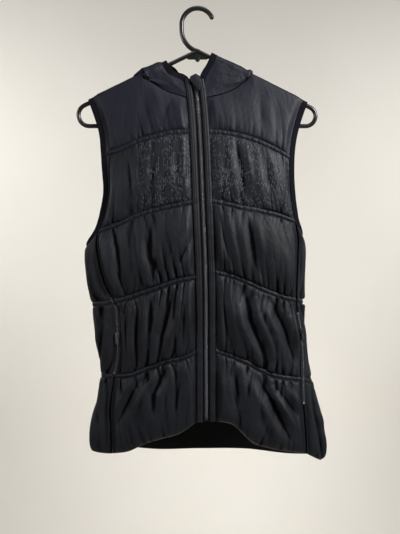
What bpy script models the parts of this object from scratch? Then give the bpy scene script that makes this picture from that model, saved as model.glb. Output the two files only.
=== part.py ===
"""Quilted puffer vest with a hood, hanging on a tube hanger.

Sizes are in millimetres and are scaled to metres when a mesh is made.
The origin is where the hanger's hook rests on its rod: the hook's inner top.
+X is the viewer's right and the wearer's left, +Y the wearer's back, +Z up.
"Drop" is the distance below the origin. Side +1 is the wearer's left, -1 the right.
"""
import math

import bmesh
import bpy
import numpy as np
from mathutils import Matrix, Vector

MM = 0.001
RIGHT, LEFT = -1, 1
SIDE_NAMES = {RIGHT: "right", LEFT: "left"}

# Sewing
GAP = 0.3
NECK_GAP = 0.9
SEAM = 2.4
CHANNEL = 8.0
CHANNEL_RIDGE = 1.6
EDGE_FLAT = 5.5
EDGE_RISE = 20.0

# Hanger
ROD = 3.8
HOOK_ROD = 4.0
APEX_DROP = 67.5
ARM_SLOPE = 0.474
ARM_TILT = 0.0105
BAR_DROP = 196.0
LOOP_X = 192.0
HOOK_RADIUS = 27.8
HOOK_TIP_ANGLE = 27.0
HOOK_STRAIGHT = 8.0
HOOK_NECK_RADIUS = 38.0
WEB_HALF_WIDTH = 21.0
WEB_DROP = 82.0
WEB_THICK = 3.0
NUB_RADIUS = 4.2
NUB_THICK = 4.0

# Cloth over the hanger's arms
ROLL = 5.4
BULGE_LENGTH = 110.0
FADE_START = 250.0
FADE_LENGTH = 140.0
ROUNDNESS = 2.4
FLATNESS = 0.2

# Inner surface of the body: drop, right outline, left outline, front depth, back depth
BODY = (
    (105.0, -203.0, 206.0, 12.0, 10.0),
    (150.0, -200.0, 203.0, 14.0, 11.0),
    (200.0, -186.0, 188.0, 26.0, 17.0),
    (270.0, -178.0, 180.0, 34.0, 21.0),
    (330.0, -181.0, 184.0, 38.0, 24.0),
    (380.0, -193.0, 187.0, 40.0, 26.0),
    (410.0, -199.0, 187.0, 40.0, 27.0),
    (450.0, -196.0, 186.0, 40.0, 28.0),
    (520.0, -187.0, 188.0, 40.0, 30.0),
    (600.0, -177.0, 197.0, 42.0, 33.0),
    (645.0, -174.0, 206.0, 44.0, 35.0),
    (700.0, -179.0, 216.0, 47.0, 38.0),
    (750.0, -190.0, 229.0, 50.0, 40.0),
    (830.0, -197.0, 238.0, 53.0, 42.0),
)

# Centre front zip: drop, x
ZIP_LINE = (
    (100.0, -8.0), (118.0, -5.6), (134.0, -3.0), (155.0, -0.6), (200.0, 3.0), (260.0, 6.0), (310.0, 8.0),
    (378.0, 11.0), (465.0, 14.0), (590.0, 15.0), (830.0, 15.5),
)

# Armhole edge and, below it, the seam to the side panel: drop, right x, left x
OUTER_EDGE = (
    (140.0, -188.0, 191.0), (150.0, -184.0, 187.0), (180.0, -173.0, 176.0),
    (210.0, -164.0, 167.0), (240.0, -161.0, 162.0), (275.0, -159.0, 161.0),
    (310.0, -157.0, 163.0), (345.0, -163.0, 168.0), (370.0, -170.0, 173.0),
    (390.0, -177.0, 177.0), (430.0, -175.0, 178.0), (475.0, -163.0, 177.0),
    (510.0, -147.0, 177.0), (560.0, -142.0, 184.0), (610.0, -143.0, 189.0),
    (645.0, -150.0, 190.0), (700.0, -158.0, 192.0), (750.0, -157.0, 196.0),
    (830.0, -155.0, 199.0),
)

# Seam from the side panel to the back, as a place around the body
# (0 centre front, 1 side, 2 centre back): drop, right, left
BACK_SEAM = (
    (395.0, 1.18, 1.18), (500.0, 1.18, 1.12), (600.0, 1.17, 1.01),
    (650.0, 1.17, 0.96), (700.0, 1.17, 0.92), (830.0, 1.17, 0.92),
)
BACK_SEAM_START = 385.0
BACK_SEAM_BLEND = 25.0

# Path length of the necklines below the shoulder line: distance from centre, front, back
NECKLINE = (
    (0.0, 95.0, 66.0), (16.0, 84.0, 59.0), (28.0, 74.5, 52.0), (40.0, 65.5, 45.0),
    (52.0, 55.5, 37.0), (64.0, 44.0, 28.5), (76.0, 30.0, 19.0), (82.5, 22.0, 14.0),
    (88.5, 13.0, 9.0), (91.0, 8.6, 6.3), (93.0, 4.3, 3.4), (95.0, 0.15, 0.15),
    (300.0, 0.15, 0.15),
)

# Quilt seams and hem of the fronts: drop at even steps from the zip to the outer edge
FRONT_LEVELS = {
    RIGHT: (
        (210.0, 211.0, 218.0, 226.0, 239.0, 247.0),
        (330.0, 336.0, 343.0, 353.0, 368.0, 381.0),
        (461.0, 467.0, 478.0, 488.0, 498.0, 506.0),
        (594.0, 606.0, 613.0, 625.0, 638.0, 643.0),
        (720.0, 742.0, 752.0, 763.0, 779.0, 786.0),
    ),
    LEFT: (
        (210.0, 212.0, 218.0, 227.0, 239.0, 253.0),
        (329.0, 334.0, 341.0, 346.0, 353.0, 364.0),
        (452.0, 459.0, 471.0, 485.0, 497.0, 506.0),
        (592.0, 603.0, 618.0, 635.0, 644.0, 650.0),
        (719.0, 727.0, 759.0, 771.0, 779.0, 786.0),
    ),
}
# The same on the back: drop at even steps from the right edge to the left edge
BACK_LEVELS = (
    (250.0, 240.0, 236.0, 236.0, 240.0, 250.0),
    (394.0, 366.0, 356.0, 356.0, 364.0, 394.0),
    (522.0, 500.0, 492.0, 492.0, 500.0, 518.0),
    (652.0, 640.0, 634.0, 634.0, 642.0, 660.0),
    (798.0, 812.0, 812.0, 812.0, 818.0, 806.0),
)
SIDE_TOP_DIP = 24.0

# Loft of the bands: yoke, chest, midriff, waist, hem
FRONT_LOFT = (6.5, 7.5, 8.5, 8.0, 9.5)
BACK_LOFT = (4.5, 5.0, 6.5, 7.0, 8.5)
SIDE_LOFT = (7.5, 7.0, 8.0)
LOFT_POWER = 0.7

# Rows in each band, and where the yoke's rows lie (closest over the hanger's arm)
YOKE_ROWS = (0.0, 0.04, 0.085, 0.2, 0.36, 0.52, 0.68, 0.84, 1.0)
YOKE_COUNT = len(YOKE_ROWS)
BAND_ROWS = (YOKE_COUNT - 1, 4, 4, 4, 5)
# Columns along the top of a front and of half the back: distance from the centre
FRONT_TOP = (16.0, 28.0, 40.0, 52.0, 64.0, 74.0, 82.5, 88.5, 91.0, 93.0, 95.0, 108.0, 123.0,
             139.0, 155.0, 171.0, 184.0)
BACK_TOP = (0.0, 27.0, 52.0, 76.0, 88.5, 92.0, 95.0, 117.0, 141.0, 166.0, 184.0)
NECK_COLUMNS = 10
BACK_NECK_COLUMNS = 6
EDGE_COLUMN = 6.0
SIDE_COLUMNS = 5
SIDE_WIDTH = 46.0

# Largest folds of the fronts: x and drop of both ends, half width, height (a trough is negative)
FOLDS = (
    (-156.0, 324.0, -146.0, 372.0, 9.0, -3.0),
    (-146.0, 375.0, -131.0, 488.0, 9.0, -4.0),
    (-78.0, 350.0, -82.0, 480.0, 9.0, -3.5),
    (-8.0, 276.0, -51.0, 330.0, 9.0, -3.0),
    (-8.0, 387.0, -42.0, 460.0, 10.0, -4.5),
    (-104.0, 503.0, -108.0, 625.0, 9.0, -3.0),
    (-43.0, 483.0, -66.0, 600.0, 9.0, -5.0),
    (-103.0, 648.0, -143.0, 729.0, 10.0, -4.0),
    (-58.0, 624.0, -78.0, 700.0, 9.0, -3.5),
    (30.0, 340.0, 58.0, 446.0, 9.0, -3.0),
    (65.0, 226.0, 82.0, 330.0, 9.0, -3.0),
    (84.0, 350.0, 108.0, 468.0, 10.0, -4.5),
    (43.0, 483.0, 54.0, 590.0, 8.0, -2.5),
    (84.0, 482.0, 127.0, 624.0, 10.0, -5.0),
    (127.0, 500.0, 172.0, 616.0, 10.0, -5.0),
    (106.0, 644.0, 165.0, 752.0, 10.0, -5.0),
    (132.0, 648.0, 184.0, 722.0, 9.0, -4.0),
)

# Zip
TAPE_HALF_WIDTH = 15.0
TAPE_INNER = 0.3
TAPE_THICK = 1.1
STRIP_INNER = 7.0
FRONT_INNER = 16.0
STRIP_TOP_DROP = 118.0
TEETH_HALF_WIDTH = 3.3
TEETH_BASE = 1.4
TEETH_TOP = 4.1
TEETH_DROPS = (121.0, 715.0)
SLIDER_DROPS = (122.0, 132.0)
GARAGE_HEIGHTS = (7.1, 9.3)
# Outline of the cloth tab over the zip's top: x, drop
GARAGE = ((-13.5, 121.0), (-12.0, 115.0), (-2.8, 110.5), (4.6, 115.0), (4.6, 141.0), (1.5, 139.0))

# Bound edges
ARMHOLE_BAND = 8.5
HOOD_BAND = 10.0
BAND_THICK = 3.0
BAND_SECTION = ((GAP, 0.0), (GAP, 0.92), (0.5, 1.0), (1.0, 0.72), (1.0, 0.18), (0.6, 0.0))

# Pocket zips in the seams between front and side: top drop, slider drop, bottom drop
POCKETS = {RIGHT: (512.0, 566.0, 640.0), LEFT: (527.0, 562.0, 697.0)}
POCKET_TAPE_HALF = 5.0
POCKET_TAPE_BASE = 3.1
POCKET_TAPE_TOP = 3.9
POCKET_TEETH_HALF = 1.7
POCKET_TEETH_TOP = 5.1
POCKET_STEPS = 12
POCKET_SLIDER = (3.6, 9.0, 1.5)
POCKET_FLANGE = 0.9
BRIDGE = (1.2, 7.0, 1.0, 3.0)
PULL_PIVOT_HEIGHT = 1.15
PULL = (5.0, 16.5, 1.1)
PULL_HOLE = (2.2, 4.6)
PULL_BAR = 1.0

# Hood behind the arms, for a hood half on the +X side: x, y, drop of each row.
# Rows 1 to 5 of the first two lines lie on the cloth over the arm and are worked out.
HOOD_RIM_FREE = ((34.0, 21.0, 88.0), (34.0, 42.0, 106.0), (22.0, 58.0, 132.0), (0.6, 62.0, 142.0))
HOOD_FRONT_FREE = ((61.0, 25.0, 101.0), (63.0, 47.0, 128.0), (47.0, 63.0, 165.0), (0.3, 70.0, 198.0))
HOOD_NECK_POINT = (
    (91.5, 1.0, 103.0), (94.5, 4.0, 100.0), (98.0, 9.0, 100.0), (101.0, 15.0, 103.5),
    (104.0, 23.0, 110.0), (107.0, 36.0, 126.0), (108.0, 50.0, 165.0), (84.0, 61.0, 238.0),
    (0.3, 68.0, 285.0),
)
HOOD_BACK_NECK = (
    (56.0, 16.0, 108.0), (58.0, 22.0, 103.5), (61.0, 29.0, 103.5), (64.0, 35.5, 109.0),
    (68.0, 39.5, 122.0), (80.0, 41.5, 160.0), (82.0, 43.0, 225.0), (50.0, 48.0, 300.0),
    (0.3, 54.0, 328.0),
)
HOOD_CENTRE_BACK = (
    (0.3, 17.0, 117.5), (0.3, 22.0, 113.0), (0.3, 29.0, 113.0), (0.3, 35.0, 118.0),
    (0.3, 39.0, 130.0), (0.3, 41.0, 165.0), (0.3, 42.0, 220.0), (0.3, 43.5, 270.0),
    (0.3, 46.0, 310.0),
)
# Face edge of the hood in front of the arm: x and drop beside the strip's top and midway,
# then x where it meets the arm and x on top of the arm
HOOD_FACE_EDGE = {
    LEFT: ((12.5, STRIP_TOP_DROP), (22.5, 101.0), 30.0, 32.0),
    RIGHT: ((-23.5, STRIP_TOP_DROP + 2.0), (-40.0, 113.5), -53.0, -57.0),
}
HOOD_SECOND_X = {LEFT: (50.0, 52.0, 54.0, 56.0), RIGHT: (-56.0, -66.0, -72.0, -76.0)}
HOOD_ROWS = (0.0, 0.6, 1.2, 1.8, 2.4, 3.0, 3.5, 4.0, 4.5, 5.0, 5.6, 6.3, 7.0, 7.7, 8.4, 9.0)
# Columns of a hood half at its neckline, as places between the five lines
HOOD_NECK_PLACES = (0.0, 0.33, 0.67, 1.0, 1.27, 1.46, 1.65, 1.8, 1.87, 1.93, 2.0, 2.1, 2.25, 2.6,
                    3.0, 3.5, 4.0)
ARM_CLEARANCE = (4.9, 7.3)
BINDING_CLEARANCE = 6.0
RIM_START = 2
HOOD_LOFT = 2.6
HOOD_CREST_LOFT = {LEFT: 4.0, RIGHT: 8.0}

# Colours (linear) and finish: name, colour, roughness, metallic
SHELL = ("shell_nylon", (0.016, 0.017, 0.021), 0.42, 0.0)
BINDING = ("knit_binding", (0.007, 0.007, 0.012), 0.85, 0.0)
ZIP_CLOTH = ("zip_tape", (0.014, 0.014, 0.016), 0.7, 0.0)
ZIP_PLASTIC = ("zip_plastic", (0.03, 0.03, 0.032), 0.3, 0.0)
METAL = ("pull_metal", (0.28, 0.28, 0.29), 0.35, 1.0)
HANGER_PLASTIC = ("hanger_plastic", (0.02, 0.02, 0.02), 0.28, 0.0)


def mix(first, second, part):
    return first + (second - first) * part


def smoothstep(part):
    part = np.clip(part, 0.0, 1.0)
    return part * part * (3.0 - 2.0 * part)


def curve(at, knots, values):
    """Smooth curve through the values at rising knots."""
    knots = np.asarray(knots, float)
    values = np.asarray(values, float)
    slope = np.gradient(values, knots)
    at = np.clip(at, knots[0], knots[-1])
    i = np.clip(np.searchsorted(knots, at) - 1, 0, len(knots) - 2)
    span = knots[i + 1] - knots[i]
    u = (at - knots[i]) / span
    rise = u * u * (3.0 - 2.0 * u)
    leave = u * (1.0 - u) ** 2 * span * slope[i]
    arrive = u * u * (u - 1.0) * span * slope[i + 1]
    return mix(values[i], values[i + 1], rise) + leave + arrive


def column(rows, number):
    return [row[number] for row in rows]


def by_drop(rows, number, drop):
    return curve(drop, column(rows, 0), column(rows, number))


def unit(vectors):
    return vectors / np.linalg.norm(vectors, axis=-1, keepdims=True)


# ---------------------------------------------------------------- the body's surface

def arm_drop(x):
    return APEX_DROP + ARM_SLOPE * np.abs(x) + ARM_TILT * x


def shoulder_drop(x):
    return arm_drop(x) - ROLL


def fall(q):
    """Drop below the shoulder line after the path length q over the roll."""
    quarter = ROLL * math.pi / 2
    bend = ROLL * (1.0 - np.cos(np.minimum(np.abs(q), quarter) / ROLL))
    return bend + np.maximum(np.abs(q) - quarter, 0.0)


def path_of_fall(height):
    """Path length q over the roll that drops by the height."""
    quarter = ROLL * math.pi / 2
    bend = ROLL * np.arccos(1.0 - np.clip(height, 0.0, ROLL) / ROLL)
    return np.where(height < ROLL, bend, height - ROLL + quarter)


def roll(q):
    return np.sin(np.clip(q / ROLL, -math.pi / 2, math.pi / 2))


def quarter_oval():
    """Half width, depth and path share of the body's outline, from its centre to its side."""
    angle = np.linspace(0.0, math.pi / 2, 1500)
    wide = np.sin(angle) ** (2 / ROUNDNESS)
    deep = np.cos(angle) ** (2 / ROUNDNESS)
    steps = np.hypot(np.diff(wide), FLATNESS * np.diff(deep))
    path = np.concatenate(([0.0], np.cumsum(steps)))
    return wide, deep, path / path[-1]


OVAL_WIDE, OVAL_DEEP, OVAL_PATH = quarter_oval()


def middle_and_half(drop):
    right = by_drop(BODY, 1, drop)
    left = by_drop(BODY, 2, drop)
    return (right + left) / 2, (left - right) / 2


def body_x(side, place, drop):
    """x of a place around the body: 0 centre front, 1 side, 2 centre back."""
    folded = np.where(place <= 1.0, place, 2.0 - place)
    middle, half = middle_and_half(drop)
    return middle + side * half * np.sign(folded) * np.interp(np.abs(folded), OVAL_PATH, OVAL_WIDE)


def place_of_x(side, x, drop):
    middle, half = middle_and_half(drop)
    wide = side * (x - middle) / half
    return np.sign(wide) * np.interp(np.abs(wide), OVAL_WIDE, OVAL_PATH)


def cloth(side, place, drop, turn=1.0):
    """Point of the body's inner surface. Turn runs from -1 to 1 over the hanger's arm."""
    x = body_x(side, place, drop)
    folded = np.abs(np.where(place <= 1.0, place, 2.0 - place))
    deep = np.interp(folded, OVAL_PATH, OVAL_DEEP)
    face = np.where(place <= 1.0, -1.0, 1.0)
    depth = np.where(face < 0, by_drop(BODY, 3, drop), by_drop(BODY, 4, drop))
    lift = ROLL * (1.0 - smoothstep((drop - FADE_START) / FADE_LENGTH))
    bulge = smoothstep((drop - shoulder_drop(x) - ROLL) / BULGE_LENGTH)
    y = face * (lift * turn + (depth - lift) * bulge * deep)
    return np.stack(np.broadcast_arrays(x, y, -drop), axis=-1)


def hang(side, q, place_at):
    """Point at the path length q below the shoulder line, on the line that place_at gives."""
    drop = 90.0 + np.abs(q)
    for _ in range(8):
        place = place_at(drop)
        drop = shoulder_drop(body_x(side, place, drop)) + fall(q)
    return cloth(side, place_at(drop), drop, roll(q))


def q_at_drop(side, drop, place_at):
    return path_of_fall(drop - shoulder_drop(body_x(side, place_at(drop), drop)))


def normals(point, first, second, step_first, step_second):
    along = point(first + step_first, second) - point(first - step_first, second)
    down = point(first, second + step_second) - point(first, second - step_second)
    return unit(np.cross(down, along))


# ---------------------------------------------------------------- panels of the body

def zip_x(drop):
    return by_drop(ZIP_LINE, 1, drop)


def outer_place(side, drop):
    x = by_drop(OUTER_EDGE, 1 if side == RIGHT else 2, drop)
    return place_of_x(side, x, drop)


def back_place(side, drop):
    """Place of the back panel's outer edge: the armhole, then the seam to the side panel."""
    number = 1 if side == RIGHT else 2
    blend = smoothstep((drop - BACK_SEAM_START) / BACK_SEAM_BLEND)
    return mix(2.0 - outer_place(side, drop), by_drop(BACK_SEAM, number, drop), blend)


def front_place(side, across, drop, gap=0.0):
    """Place on a front: across runs from 0 at the zip strip to 1 at the outer edge."""
    inner = place_of_x(side, zip_x(drop) + side * FRONT_INNER, drop)
    outer = outer_place(side, drop) - gap / middle_and_half(drop)[1]
    return mix(inner, outer, across)


def front_point(side, across, q):
    return hang(side, q, lambda drop: front_place(side, across, drop, GAP / 2))


def back_signed_place(across, drop, gap):
    """-1 .. 1 style coordinate of the back: below 0 right of the centre, above 0 left."""
    spare = gap / middle_and_half(drop)[1]
    right = -(2.0 - back_place(RIGHT, drop)) + spare
    left = (2.0 - back_place(LEFT, drop)) - spare
    return mix(right, left, across)


def back_point(across, q):
    def solve(side):
        return hang(side, q, lambda drop: 2.0 - side * back_signed_place(across, drop, GAP / 2))

    right = solve(RIGHT)
    left = solve(LEFT)
    probe = back_signed_place(across, -left[..., 2], GAP / 2)
    return np.where((probe > 0)[..., None], left, right)


def level(values, across):
    return curve(across, np.linspace(0.0, 1.0, len(values)), values)


def neck_q(x, number):
    return np.interp(np.abs(x), column(NECKLINE, 0), column(NECKLINE, number))


def even_columns(count, width):
    """Even places from 0 to 1 with a narrow first and last column."""
    edge = EDGE_COLUMN / width
    return np.concatenate(([0.0], np.linspace(edge, 1.0 - edge, count - 1), [1.0]))


def band_rows(levels, first_band):
    """Drops of all rows from the second band down, and (band, part) of each row.

    Levels are arrays of drops, one a seam, the last the hem. Between two bands
    one more row runs along the middle of the stitched channel.
    """
    rows = []
    for band in range(len(levels) - 1):
        top = levels[band] + CHANNEL / 2
        last = band == len(levels) - 2
        bottom = levels[band + 1] - (0.0 if last else CHANNEL / 2)
        steps = BAND_ROWS[band + first_band]
        for step in range(steps + 1):
            rows.append((mix(top, bottom, step / steps), band + first_band, step / steps))
        if not last:
            rows.append((levels[band + 1], None, 0.0))
    return rows


def loft_shape(part):
    return np.sin(math.pi * np.clip(part, 0.0, 1.0)) ** LOFT_POWER


def edge_shape(distance):
    return smoothstep((distance - EDGE_FLAT) / EDGE_RISE)


def fold_height(points):
    """Height that the large folds add at the given points."""
    total = np.zeros(points.shape[:-1])
    for x1, drop1, x2, drop2, half_width, height in FOLDS:
        start = np.array((x1, -drop1))
        line = np.array((x2 - x1, drop1 - drop2))
        offset = points[..., (0, 2)] - start
        share = np.clip(offset @ line / (line @ line), 0.0, 1.0)
        distance = np.linalg.norm(offset - share[..., None] * line, axis=-1)
        total += height * np.exp(-((distance / half_width) ** 2))
    return total


def row_thickness(band, part, loft, edge, folds):
    if band is None:
        return SEAM + CHANNEL_RIDGE * edge
    puff = loft[band] * loft_shape(part) * edge
    return SEAM + np.maximum(puff + folds * loft_shape(part) * edge, 0.0)


def front_columns(side):
    """Places across a front at its top edge and, evenly spread, below the yoke."""
    x = side * np.array(FRONT_TOP)
    drop = shoulder_drop(x) + fall(neck_q(x, 1))
    inner = front_place(side, 0.0, drop)
    top = (place_of_x(side, x, drop) - inner) / (front_place(side, 1.0, drop) - inner)
    top[0] = 0.0
    top[-1] = 1.0
    return top, even_columns(len(x) - 1, side * (x[-1] - x[0]))


def front_rows(side):
    """Places across, path lengths q and (band, part) of every row of a front."""
    top, across = front_columns(side)

    def place_at(drop):
        return front_place(side, across, drop, GAP / 2)

    top_q = neck_q(np.array(FRONT_TOP), 1)
    levels = [level(values, across) for values in FRONT_LEVELS[side]]
    yoke_end = q_at_drop(side, levels[0] - CHANNEL / 2, place_at)
    rows = [(mix(top, across, smoothstep(part)), mix(top_q, yoke_end, part), 0, part)
            for part in YOKE_ROWS]
    rows.append((across, q_at_drop(side, levels[0], place_at), None, 0.0))
    for drop, band, part in band_rows(levels, 1):
        rows.append((across, q_at_drop(side, drop, place_at), band, part))
    return rows


def front_normals(side, across, q):
    return side * normals(lambda a, b: front_point(side, a, b), across, q, 0.002, 0.4)


def front_grid(side):
    """Inner and outer points of a front, row by row from its top."""
    inner = []
    outer = []
    for across, q, band, part in front_rows(side):
        base = front_point(side, across, q)
        width = abs(base[-1, 0] - base[0, 0])
        edge = edge_shape(np.minimum(across, 1.0 - across) * width)
        thick = row_thickness(band, part, FRONT_LOFT, edge, fold_height(base))
        inner.append(base)
        outer.append(base + front_normals(side, across, q) * thick[:, None])
    return np.array(inner), np.array(outer)


def back_columns():
    """Places across the back at its top edge and, evenly spread, below the yoke."""
    x = np.array(BACK_TOP)
    halves = []
    for side in (RIGHT, LEFT):
        drop = shoulder_drop(side * x) + fall(neck_q(x, 2))
        signed = side * place_of_x(side, side * x, drop)
        low = back_signed_place(0.0, drop, 0.0)
        high = back_signed_place(1.0, drop, 0.0)
        halves.append((signed - low) / (high - low))
    top = np.concatenate((halves[0][:0:-1], halves[1]))
    top[0] = 0.0
    top[-1] = 1.0
    return top, even_columns(len(top) - 1, x[-1] * 2)


def back_rows():
    top, across = back_columns()

    def q_of(drop):
        signed = back_signed_place(across, drop, GAP / 2)
        x = np.where(signed > 0, body_x(LEFT, 2.0 - signed, drop), body_x(RIGHT, 2.0 + signed, drop))
        return path_of_fall(drop - shoulder_drop(x))

    half = neck_q(np.array(BACK_TOP), 2)
    top_q = np.concatenate((half[:0:-1], half))
    levels = [level(values, across) for values in BACK_LEVELS]
    yoke_end = q_of(levels[0] - CHANNEL / 2)
    rows = [(mix(top, across, smoothstep(part)), mix(top_q, yoke_end, part), 0, part)
            for part in YOKE_ROWS]
    rows.append((across, q_of(levels[0]), None, 0.0))
    for drop, band, part in band_rows(levels, 1):
        rows.append((across, q_of(drop), band, part))
    return rows


def back_normals(across, q):
    return -normals(back_point, across, q, 0.001, 0.4)


def back_grid():
    inner = []
    outer = []
    for across, q, band, part in back_rows():
        base = back_point(across, q)
        width = base[-1, 0] - base[0, 0]
        edge = edge_shape(np.minimum(across, 1.0 - across) * width)
        thick = row_thickness(band, part, BACK_LOFT, edge, 0.0)
        inner.append(base)
        outer.append(base + back_normals(across, q) * thick[:, None])
    return np.array(inner), np.array(outer)


def side_place(side, across, drop):
    spare = GAP / 2 / middle_and_half(drop)[1]
    front = outer_place(side, drop) + spare
    back = back_place(side, drop) - spare
    return mix(front, back, across)


def side_point(side, across, drop):
    return cloth(side, side_place(side, across, drop), drop)


def side_levels(side, across):
    """Drops of the side panel's top edge, its two seams and its hem."""
    back_end = 0 if side == RIGHT else -1
    levels = []
    for front_values, back_values in zip(FRONT_LEVELS[side][1:], BACK_LEVELS[1:]):
        levels.append(mix(front_values[-1], back_values[back_end], across))
    levels[0] = levels[0] + SIDE_TOP_DIP * np.sin(math.pi * across)
    return levels


def side_grid(side):
    across = even_columns(SIDE_COLUMNS, SIDE_WIDTH)
    inner = []
    outer = []
    lofts = (0.0, 0.0) + SIDE_LOFT
    for drop, band, part in band_rows(side_levels(side, across), 2):
        base = side_point(side, across, drop)
        out = side * normals(lambda a, b: side_point(side, a, b), across, drop, 0.01, 0.4)
        steps = np.linalg.norm(np.diff(base, axis=0), axis=1)
        path = np.concatenate(([0.0], np.cumsum(steps)))
        edge = edge_shape(np.minimum(path, path[-1] - path))
        thick = row_thickness(band, part, lofts, edge, 0.0)
        inner.append(base)
        outer.append(base + out * thick[:, None])
    return np.array(inner), np.array(outer)


# ---------------------------------------------------------------- points at a given x

def front_at_q(x, q):
    """Point of the cloth in front at a given x, by path length below the shoulder line."""
    x = np.asarray(x, float)
    drop = shoulder_drop(x) + fall(q)
    side = np.where(x < middle_and_half(drop)[0], RIGHT, LEFT)
    return cloth(side, place_of_x(side, x, drop), drop, roll(q))


def front_at(x, drop):
    return front_at_q(x, path_of_fall(drop - shoulder_drop(np.asarray(x, float))))


def front_normal(x, drop):
    q = path_of_fall(drop - shoulder_drop(x))
    return normals(front_at_q, x, q, 0.5, 0.4)


def zip_sections(side, drops, outline):
    """Sections along the zip: outline gives (distance from the zip line, height) pairs."""
    sections = []
    for drop in drops:
        centre = zip_x(drop)
        out = front_normal(centre + side * STRIP_INNER, drop)
        ring = [front_at(centre + side * along, drop) + out * height for along, height in outline]
        sections.append(np.array(ring))
    return np.array(sections)


def strip_drops(side):
    """Drops of the strip's sections: those of the front's rows, then up to the strip's top."""
    drops = [-front_point(side, across[:1], q[:1])[0, 2] for across, q, _, _ in front_rows(side)]
    return [STRIP_TOP_DROP, mix(STRIP_TOP_DROP, drops[0], 0.5)] + drops


# ---------------------------------------------------------------- bound edges

def banded_edge(points, outs, turn, width, clearance, closed):
    """Sections of a folded knit band that lies beyond an edge of the cloth."""
    if closed:
        along = np.roll(points, -1, axis=0) - np.roll(points, 1, axis=0)
    else:
        along = np.gradient(points, axis=0)
    away = turn * unit(np.cross(outs, unit(along)))
    sections = np.empty((len(points), len(BAND_SECTION), 3))
    for number, (over, height) in enumerate(BAND_SECTION):
        over = over if over == GAP else over * width
        at = points + away * over + outs * height * BAND_THICK
        sections[:, number] = clear_of_arm(at, clearance + height * BAND_THICK)
    return sections


def armhole_path(side):
    """Edge points and outward directions, from the shoulder down the front and up the back."""
    underarm = YOKE_COUNT + BAND_ROWS[1] + 3

    def front_edge(across, q):
        return hang(side, q, lambda drop: front_place(side, across, drop))

    def back_edge(across, q):
        return hang(side, q, lambda drop: mix(2.0, back_place(side, drop), across))

    front_q = np.array([row[1][-1] for row in front_rows(side)[:underarm]])
    end = 0 if side == RIGHT else -1
    back_q = np.array([row[1][end] for row in back_rows()[1:underarm]])[::-1]
    across = even_columns(SIDE_COLUMNS, SIDE_WIDTH)
    drops = (side_levels(side, across)[0] + CHANNEL / 2)[1:-1]
    across = across[1:-1]
    place = mix(outer_place(side, drops), back_place(side, drops), across)
    points = np.vstack((front_edge(1.0, front_q), cloth(side, place, drops), back_edge(1.0, back_q)))
    outs = np.vstack((
        side * normals(front_edge, 1.0, front_q, 0.002, 0.4),
        side * normals(lambda a, b: side_point(side, a, b), across, drops, 0.01, 0.4),
        side * normals(back_edge, 1.0, back_q, 0.002, -0.4),
    ))
    return points, outs


# ---------------------------------------------------------------- hood

def hood_stations(side):
    """Points of the hood half at five stations round the neck, ten rows each."""
    def free(rows):
        x, y, drop = np.array(rows).T
        higher_arm = ARM_TILT * (x - side * x)
        return np.stack((side * x, y, higher_arm - drop), axis=-1)

    def on_front(x, drop):
        return front_at(x, drop)

    crest = ROLL * math.pi / 2
    neck = neck_edge(side)[0]
    edge = HOOD_FACE_EDGE[side]
    rim = [neck[0]]
    rim += [front_at(x, drop) for x, drop in edge[:2]]
    rim += [front_at_q(edge[2], crest), front_at_q(edge[3], 0.0), front_at_q(edge[3], -crest)]
    rim = np.vstack((rim, free(HOOD_RIM_FREE)))
    second_x = HOOD_SECOND_X[side]
    neck_drop = -neck[3, 2]
    arm_level = shoulder_drop(second_x[2]) + ROLL
    second = [neck[3]]
    second += [front_at(second_x[0], mix(neck_drop, arm_level, 0.4))]
    second += [front_at(second_x[1], mix(neck_drop, arm_level, 0.75))]
    second += [front_at_q(second_x[2], crest), front_at_q(second_x[2], 0.0)]
    second.append(front_at_q(second_x[3], -crest))
    second = np.vstack((second, free(HOOD_FRONT_FREE)))
    neck_point = np.vstack(([neck[NECK_COLUMNS]], free(HOOD_NECK_POINT)))
    back_neck = np.vstack(([neck[-3]], free(HOOD_BACK_NECK)))
    centre = np.vstack(([neck[-1]], free(HOOD_CENTRE_BACK)))
    return np.array((rim, second, neck_point, back_neck, centre))


def neck_edge(side):
    """Edge of the hood at the neckline, from the zip to the centre back, and its normals."""
    across, q = front_rows(side)[0][:2]
    front = slice(0, NECK_COLUMNS)
    points = front_point(side, across[front], q[front])
    outs = front_normals(side, across[front], q[front])
    crest_point = front_at_q(side * FRONT_TOP[NECK_COLUMNS], 0.0)
    crest_out = front_normals(side, across[NECK_COLUMNS], 0.15)
    across, q = back_rows()[0][:2]
    middle = len(BACK_TOP) - 1
    back = middle + side * np.arange(BACK_NECK_COLUMNS - 1, -1, -1)
    points = np.vstack((points, [crest_point], back_point(across[back], q[back])))
    outs = np.vstack((outs, [crest_out], back_normals(across[back], q[back])))
    along = np.gradient(points, axis=0)
    inward = side * unit(np.cross(outs, along))
    edge = points + inward * NECK_GAP
    edge[0] = front_at(zip_x(-edge[0, 2]) + side * (FRONT_INNER + GAP / 2), -edge[0, 2])
    edge[-1, 0] = side * GAP / 2
    return edge, outs


def smooth_grid(points, first, second):
    """Smooth surface through a grid of points, read at the given row and column places."""
    rows = np.arange(points.shape[0])
    columns = np.arange(points.shape[1])
    along = np.stack([np.stack([curve(first, rows, points[:, j, k]) for k in range(3)], -1)
                      for j in columns], 1)
    return np.stack([np.stack([curve(second, columns, along[i, :, k]) for k in range(3)], -1)
                     for i in range(len(first))], 0)


def clear_of_arm(points, clearance):
    """Move points that lie too near the hanger's arm straight away from it."""
    below = (-points[..., 2] - arm_drop(points[..., 0])) / math.hypot(1.0, ARM_SLOPE)
    distance = np.hypot(points[..., 1], below)
    grow = np.maximum(clearance / np.maximum(distance, 0.1), 1.0) - 1.0
    moved = points.copy()
    moved[..., 1] += points[..., 1] * grow
    moved[..., 2] -= below * grow * math.hypot(1.0, ARM_SLOPE)
    return moved


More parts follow.
